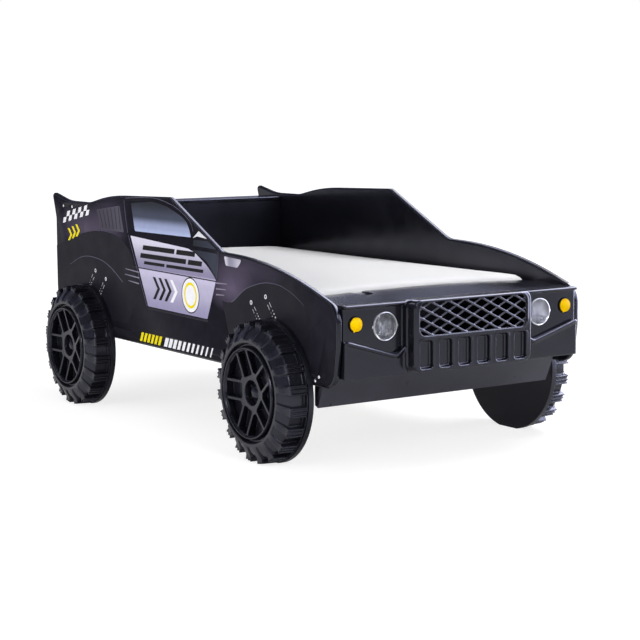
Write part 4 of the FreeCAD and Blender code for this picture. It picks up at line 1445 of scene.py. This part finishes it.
@dataclass
class Bumper:
    """Moulded front bumper with rolled rims round its openings, and its grille mesh."""

    palette: Palette
    voxel: float = 0.0021
    rounds: int = 3
    most_faces: int = 92000
    mesh_voxel: float = 0.0011
    mesh_rounds: int = 5
    mesh_most_faces: int = 40000
    round_share: float = 0.5
    smooth_degrees: float = 50.0
    plate_front: float = 1.0045
    block_front: float = 0.9655
    window_half: Point2 = (0.213, 0.054)
    window_middle: Point2 = (0.0, 0.464)
    window_corner: float = 0.026
    window_roll: float = 0.004
    window_sink: float = 0.0022
    slots: int = 6
    slot_pitch: float = 0.0736
    slot_half: Point2 = (0.0268, 0.0458)
    slot_height: float = 0.356
    slot_corner: float = 0.0128
    slot_roll: float = 0.003
    slot_sink: float = 0.0016
    bead: tuple[Point2, ...] = ((0.4485, 0.408), (0.36, 0.3815), (0.292, 0.3612), (0.270, 0.3570),
                                (0.254, 0.3650), (0.239, 0.378))
    bead_roll: float = 0.0066
    roll_steps: int = 3
    notch_place: Point3 = (0.7725, -0.258, 0.528)
    notch_size: Point3 = (0.075, 0.040, 0.030)
    notch_degrees: float = 18.0

    @staticmethod
    def loop(half: Point2, middle: Point2, corner: float, steps: int = 6) -> list[Point2]:
        """Rounded rectangle in the front view.

        Args:
            half: Half of its width and height.
            middle: Y and Z of its middle.
            corner: Radius of its corners.
            steps: Steps of a corner.

        Returns:
            Y and Z of each point.
        """
        points = []
        for index, (across, up) in enumerate(((1, 1), (-1, 1), (-1, -1), (1, -1))):
            centre = (middle[0] + across * (half[0] - corner), middle[1] + up * (half[1] - corner))
            for step in range(steps + 1):
                turn = math.pi / 2 * (index + step / steps)
                points.append((centre[0] + corner * math.cos(turn), centre[1] + corner * math.sin(turn)))
        return points

    def roll(self, points: list[Point2], x: float, radius: float, closed: bool) -> Piece:
        """Round bar along a line in the front view.

        Args:
            points: Y and Z of each point.
            x: X of the bar.
            radius: Its radius.
            closed: Whether the line is a ring.

        Returns:
            The bar.
        """
        line = bpy.data.curves.new("roll", "CURVE")
        line.dimensions = "3D"
        line.bevel_depth = radius
        line.bevel_resolution = self.roll_steps
        line.use_fill_caps = not closed
        spline = line.splines.new("POLY")
        spline.points.add(len(points) - 1)
        for point, (y, z) in zip(spline.points, points):
            point.co = (x, y, z, 1.0)
        spline.use_cyclic_u = closed
        bar = bpy.data.objects.new("roll", line)
        bpy.context.scene.collection.objects.link(bar)
        Bench.only(bar)
        bpy.ops.object.convert(target="MESH")
        return bpy.context.object

    def rolls(self) -> list[Piece]:
        """Rolled rims of the mesh window, of the slots and along the lower blocks.

        Returns:
            The rims.
        """
        window = self.loop(self.window_half, self.window_middle, self.window_corner)
        bars = [self.roll(window, self.plate_front - self.window_sink, self.window_roll, True)]
        for index in range(self.slots):
            middle = ((index - (self.slots - 1) / 2) * self.slot_pitch, self.slot_height)
            slot = self.loop(self.slot_half, middle, self.slot_corner)
            bars.append(self.roll(slot, self.plate_front - self.slot_sink, self.slot_roll, True))
        for side in Side:
            bead = [(side.value * y, z) for y, z in curve(self.bead)]
            bars.append(self.roll(bead, self.block_front, self.bead_roll, False))
        return bars

    def melt(self, piece: Piece, voxel: float, rounds: int, most_faces: int) -> None:
        """Fuse a piece and melt its edges and corners round, as a mould leaves them.

        Args:
            piece: Piece of closed shapes.
            voxel: Step of the new mesh.
            rounds: Rounds of smoothing.
            most_faces: Most faces of the result.
        """
        Bench.tidy(piece, Bench.MERGE)
        Bench.apply(piece, "REMESH", mode="VOXEL", voxel_size=voxel, use_smooth_shade=True)
        Bench.apply(piece, "SMOOTH", factor=self.round_share, iterations=rounds)
        faces = len(piece.data.polygons)
        if faces > most_faces:
            Bench.apply(piece, "DECIMATE", decimate_type="COLLAPSE", ratio=most_faces / faces)
        Bench.smooth(piece, self.smooth_degrees)

    def build(self) -> None:
        """Notch the top's rear edge, melt the shell's and the mesh's edges round and dress them."""
        shell = Bench.copy_of(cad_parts["bumper_shell"], "bumper_moulding")
        Bench.tidy(shell, Bench.MERGE)
        turn = (0, 0, math.radians(self.notch_degrees))
        Bench.carve(shell, Bench.block(self.notch_place, self.notch_size, turn))
        shell = Bench.join([shell, *self.rolls()], "bumper_moulding")
        self.melt(shell, self.voxel, self.rounds, self.most_faces)
        self.palette.fit(shell, BUMPER_PLASTIC, "bumper_plastic", "bumper_shell")
        mesh = Bench.copy_of(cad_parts["grille_mesh"], "grille_bars")
        self.melt(mesh, self.mesh_voxel, self.mesh_rounds, self.mesh_most_faces)
        self.palette.fit(mesh, MESH_PAINT, "mesh_metal", "grille_mesh")


@dataclass
class Lamps:
    """Headlights, each a domed lens in a bright rim over a mirror bowl, and amber indicators.

    A profile's points are steps out from the lamp's radius, and X from its seat.
    """

    palette: Palette
    headlight_radius: float = 0.044
    headlight_bulge: float = 0.015
    headlight_steps: int = 64
    lens_base: float = 0.0026
    lens_outer: Point2 = (0.0035, 0.0028)
    lens_inner: Point2 = (0.0060, 0.0055)
    rim_profile: tuple[Point2, ...] = ((0.0, 0.0003), (0.0, 0.0030), (-0.0008, 0.0044), (-0.0022, 0.0048),
                                       (-0.0033, 0.0040), (-0.0034, 0.0003))
    rim_tab_place: Point2 = (0.0012, 0.0016)
    rim_tab_size: Point3 = (0.0028, 0.0050, 0.0070)
    bowl_radius: float = 0.0415
    bowl_depth: float = 0.0225
    bowl_rings: int = 10
    bowl_wall: Point2 = (0.0004, 0.0012)
    indicator_radius: float = 0.0213
    indicator_bulge: float = 0.009
    indicator_steps: int = 48
    edge_profile: tuple[Point2, ...] = ((0.0, 0.0003), (0.0, 0.0026), (-0.0007, 0.0038), (-0.0019, 0.0042),
                                        (-0.0028, 0.0034))
    crown_inset: float = 0.0030
    crown_base: float = 0.0034
    spigot: Point2 = (0.0166, 0.012)
    spigot_top: float = 0.0003
    tab_degrees: float = 200.0
    tab_place: Point2 = (0.0006, 0.0014)
    tab_size: Point3 = (0.0022, 0.0050, 0.0040)
    tab_edge: float = 0.0009
    tab_edge_steps: int = 3
    # Ring round each indicator, dark and matte: painted shade for the gap between the lens and the bumper.
    gap_shade_profile: tuple[Point2, ...] = ((0.0034, 0.0002), (0.0030, 0.0012), (0.0006, 0.0014),
                                          (0.0002, 0.0002))
    dome_power: float = 2.6
    smooth_degrees: float = 40.0

    def dome(self, radius: float, base: float, bulge: float, count: int = 10) -> list[Point2]:
        """Profile of a flat dome from its edge to its crown.

        Args:
            radius: Radius at the edge.
            base: X of the edge.
            bulge: Rise of the crown.
            count: Points.

        Returns:
            Radius and X of each point.
        """
        shares = [1 - index / (count - 1) for index in range(count)]
        return [(radius * share, base + bulge * (1 - share ** self.dome_power)) for share in shares]

    def tab(self, place: Point3, size: Point3, turn: float) -> Piece:
        """Small rounded locating tab.

        Args:
            place: Its middle.
            size: Its size.
            turn: Turn about X, in radians.

        Returns:
            The tab.
        """
        piece = Bench.block(place, size, (turn, 0, 0))
        Bench.apply(piece, "BEVEL", width=self.tab_edge, segments=self.tab_edge_steps)
        return piece

    def set_in(self, piece: Piece, place: Point3, finish: Finish, slot: str, *nodes: str) -> None:
        """Move a piece of a lamp to its seat, smooth it and dress it.

        Args:
            piece: The piece, about the origin.
            place: The lamp's seat.
            finish: Finish of the piece.
            slot: Slot of the record that it takes its finish from.
            *nodes: Frame nodes that it replaces.
        """
        piece.location = place
        Bench.settle(piece)
        Bench.smooth(piece, self.smooth_degrees)
        self.palette.fit(piece, finish, slot, *nodes)

    def headlight(self, side: Side) -> None:
        """One headlight with its lens, rim, tabs and bowl.

        Args:
            side: Side of the bed.
        """
        low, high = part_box("headlight_lens_" + side.word)
        middle = (low + high) / 2
        place = (low.x, middle.y, middle.z)
        radius, steps = self.headlight_radius, self.headlight_steps
        outer, inner = (self.dome(radius - inset, self.lens_base, self.headlight_bulge - drop)
                        for inset, drop in (self.lens_outer, self.lens_inner))
        lens = Bench.lathe(outer + inner[::-1], "headlight_glass_" + side.word, steps)
        rim = Bench.lathe([(radius + step, x) for step, x in self.rim_profile], "headlight_rim", steps)
        reach, tab_x = radius + self.rim_tab_place[0], self.rim_tab_place[1]
        tabs = [self.tab((tab_x, sign * reach, 0.0), self.rim_tab_size, 0.0) for sign in (-1, 1)]
        rim = Bench.join([rim, *tabs], "headlight_rim_" + side.word)
        shares = [1 - ring / self.bowl_rings for ring in range(self.bowl_rings + 1)]
        face = [(self.bowl_radius * share, self.bowl_depth * (share ** 2 - 1)) for share in shares]
        wall, back = self.bowl_wall
        behind = [(across + wall if across > 0 else 0.0, x - back) for across, x in face]
        bowl = Bench.lathe(face + behind[::-1], "headlight_bowl_" + side.word, steps)
        self.set_in(lens, place, LENS, "clear_lens", "headlight_lens_" + side.word)
        self.set_in(rim, place, LENS_RIM, "clear_lens")
        self.set_in(bowl, place, MIRROR, "reflector", "headlight_reflector_" + side.word)

    def indicator(self, side: Side) -> None:
        """One indicator with its flat dome, rolled edge, tab and spigot, and a matte near-black ring round it
        as painted shade in the gap.

        Args:
            side: Side of the bed.
        """
        low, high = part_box("indicator_lens_" + side.word)
        radius, steps = self.indicator_radius, self.indicator_steps
        place = (high.x - self.indicator_bulge, (low.y + high.y) / 2, high.z - radius)
        edge = [(radius + step, x) for step, x in self.edge_profile]
        crown = self.dome(radius - self.crown_inset, self.crown_base, self.indicator_bulge - self.crown_base)
        stem, depth = self.spigot
        back = [(0.0, -depth), (stem, -depth), (stem, self.spigot_top)]
        lens = Bench.lathe(edge + crown + back, "indicator_lens", steps)
        turn = math.radians(self.tab_degrees)
        reach, tab_x = radius + self.tab_place[0], self.tab_place[1]
        tab = self.tab((tab_x, reach * math.sin(turn), reach * math.cos(turn)), self.tab_size, -turn)
        lens = Bench.join([lens, tab], "indicator_" + side.word)
        gap_shade = Bench.lathe([(radius + step, x) for step, x in self.gap_shade_profile],
                             "indicator_gasket_" + side.word, steps)
        self.set_in(lens, place, AMBER, "amber_lens", "indicator_lens_" + side.word)
        self.set_in(gap_shade, place, GAP_SHADE_RUBBER, "bumper_plastic")

    def build(self) -> None:
        """Model the lamps of both sides."""
        for side in Side:
            self.headlight(side)
            self.indicator(side)


@dataclass
class Wheels:
    """Four fixed wheels: board disc, moulded tyre and rim."""

    palette: Palette
    tyre_edge: float = 0.0013
    rim_edge: float = 0.0014
    disc_edge: float = 0.0012

    def build(self) -> None:
        """Round the edges of each wheel's pieces and dress them."""
        for end in End:
            for side in Side:
                mark = "_%s_%s" % (end.value, side.word)
                self.palette.ease("tyre" + mark, self.tyre_edge, TYRE_PLASTIC, "tyre_plastic")
                self.palette.ease("rim" + mark, self.rim_edge, RIM_PLASTIC, "rim_plastic")
                self.palette.ease("wheel_disc" + mark, self.disc_edge, BOARD_LACQUER, "board_lacquer")


@dataclass
class Fasteners:
    """Screws, bolts and brackets. A screw head's profile is in shares of its radius, and X from its seat."""

    palette: Palette
    head_radius: float = 0.005
    head_profile: tuple[Point2, ...] = ((1.0, -0.0004), (1.0, 0.0003), (0.9, 0.0009), (0.62, 0.0014),
                                        (0.3, 0.0017), (0.0, 0.0018), (0.0, -0.0004))
    head_steps: int = 28
    recess_place: Point3 = (0.0016, 0.0, 0.0)
    recess_size: Point3 = (0.0022, 0.0054, 0.0011)
    head_edge: float = 0.0001
    head_edge_degrees: float = 40.0
    first_turn: float = 25.0
    next_turn: float = 30.0
    smooth_degrees: float = 35.0

    def head(self) -> Piece:
        """Low domed screw head with a cross recess, facing along X.

        Returns:
            The head.
        """
        profile = [(self.head_radius * share, x) for share, x in self.head_profile]
        head = Bench.lathe(profile, "screw_head", self.head_steps)
        for turn in (0.0, math.pi / 2):
            Bench.carve(head, Bench.block(self.recess_place, self.recess_size, (turn, 0, 0)))
        Bench.apply(head, "BEVEL", width=self.head_edge, segments=2, limit_method="ANGLE",
                    angle_limit=math.radians(self.head_edge_degrees))
        return head

    def build(self) -> None:
        """Dress the hardware and set the seen screw heads."""
        for node in ("shelf_screws", "skid_screws", "wheel_bolts", "slat_screws", "corner_brackets"):
            self.palette.dress_node(node, ZINC)
        model = self.head()
        inset = self.head_radius
        for node, level in (("shelf_screws", True), ("skid_screws", False)):
            low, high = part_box(node)
            for side in Side:
                heads = []
                for step in (0, 1):
                    x = high.x - inset if step else low.x + inset
                    z = (low.z + high.z) / 2 if level else (high.z - inset if step else low.z + inset)
                    head = Bench.copy_of(model, "%s_head_%s_%d" % (node, side.word, step))
                    turn = math.radians(self.first_turn + self.next_turn * step)
                    head.rotation_euler = (turn, 0, side.value * math.pi / 2)
                    head.location = (x, side.value * PANEL_FACE, z)
                    Bench.settle(head)
                    heads.append(head)
                joined = Bench.join(heads, "%s_heads_%s" % (node, side.word))
                Bench.smooth(joined, self.smooth_degrees)
                # The seen heads take the lighter steel with its painted highlight.
                self.palette.fit(joined, STEEL_PAINTED_GLINT, "steel")
        bpy.data.objects.remove(model)


def main() -> None:
    """Build the stage and every sub-assembly, and note the sizes."""
    logging.basicConfig(level=logging.INFO, format="%(name)s %(message)s")
    palette = Palette()
    Studio().build()
    for assembly in (SidePanels, Boards, Mattress, Bumper, Lamps, Wheels, Fasteners):
        assembly(palette).build()
    Bench.clear()


if __name__ == "__main__":
    main()
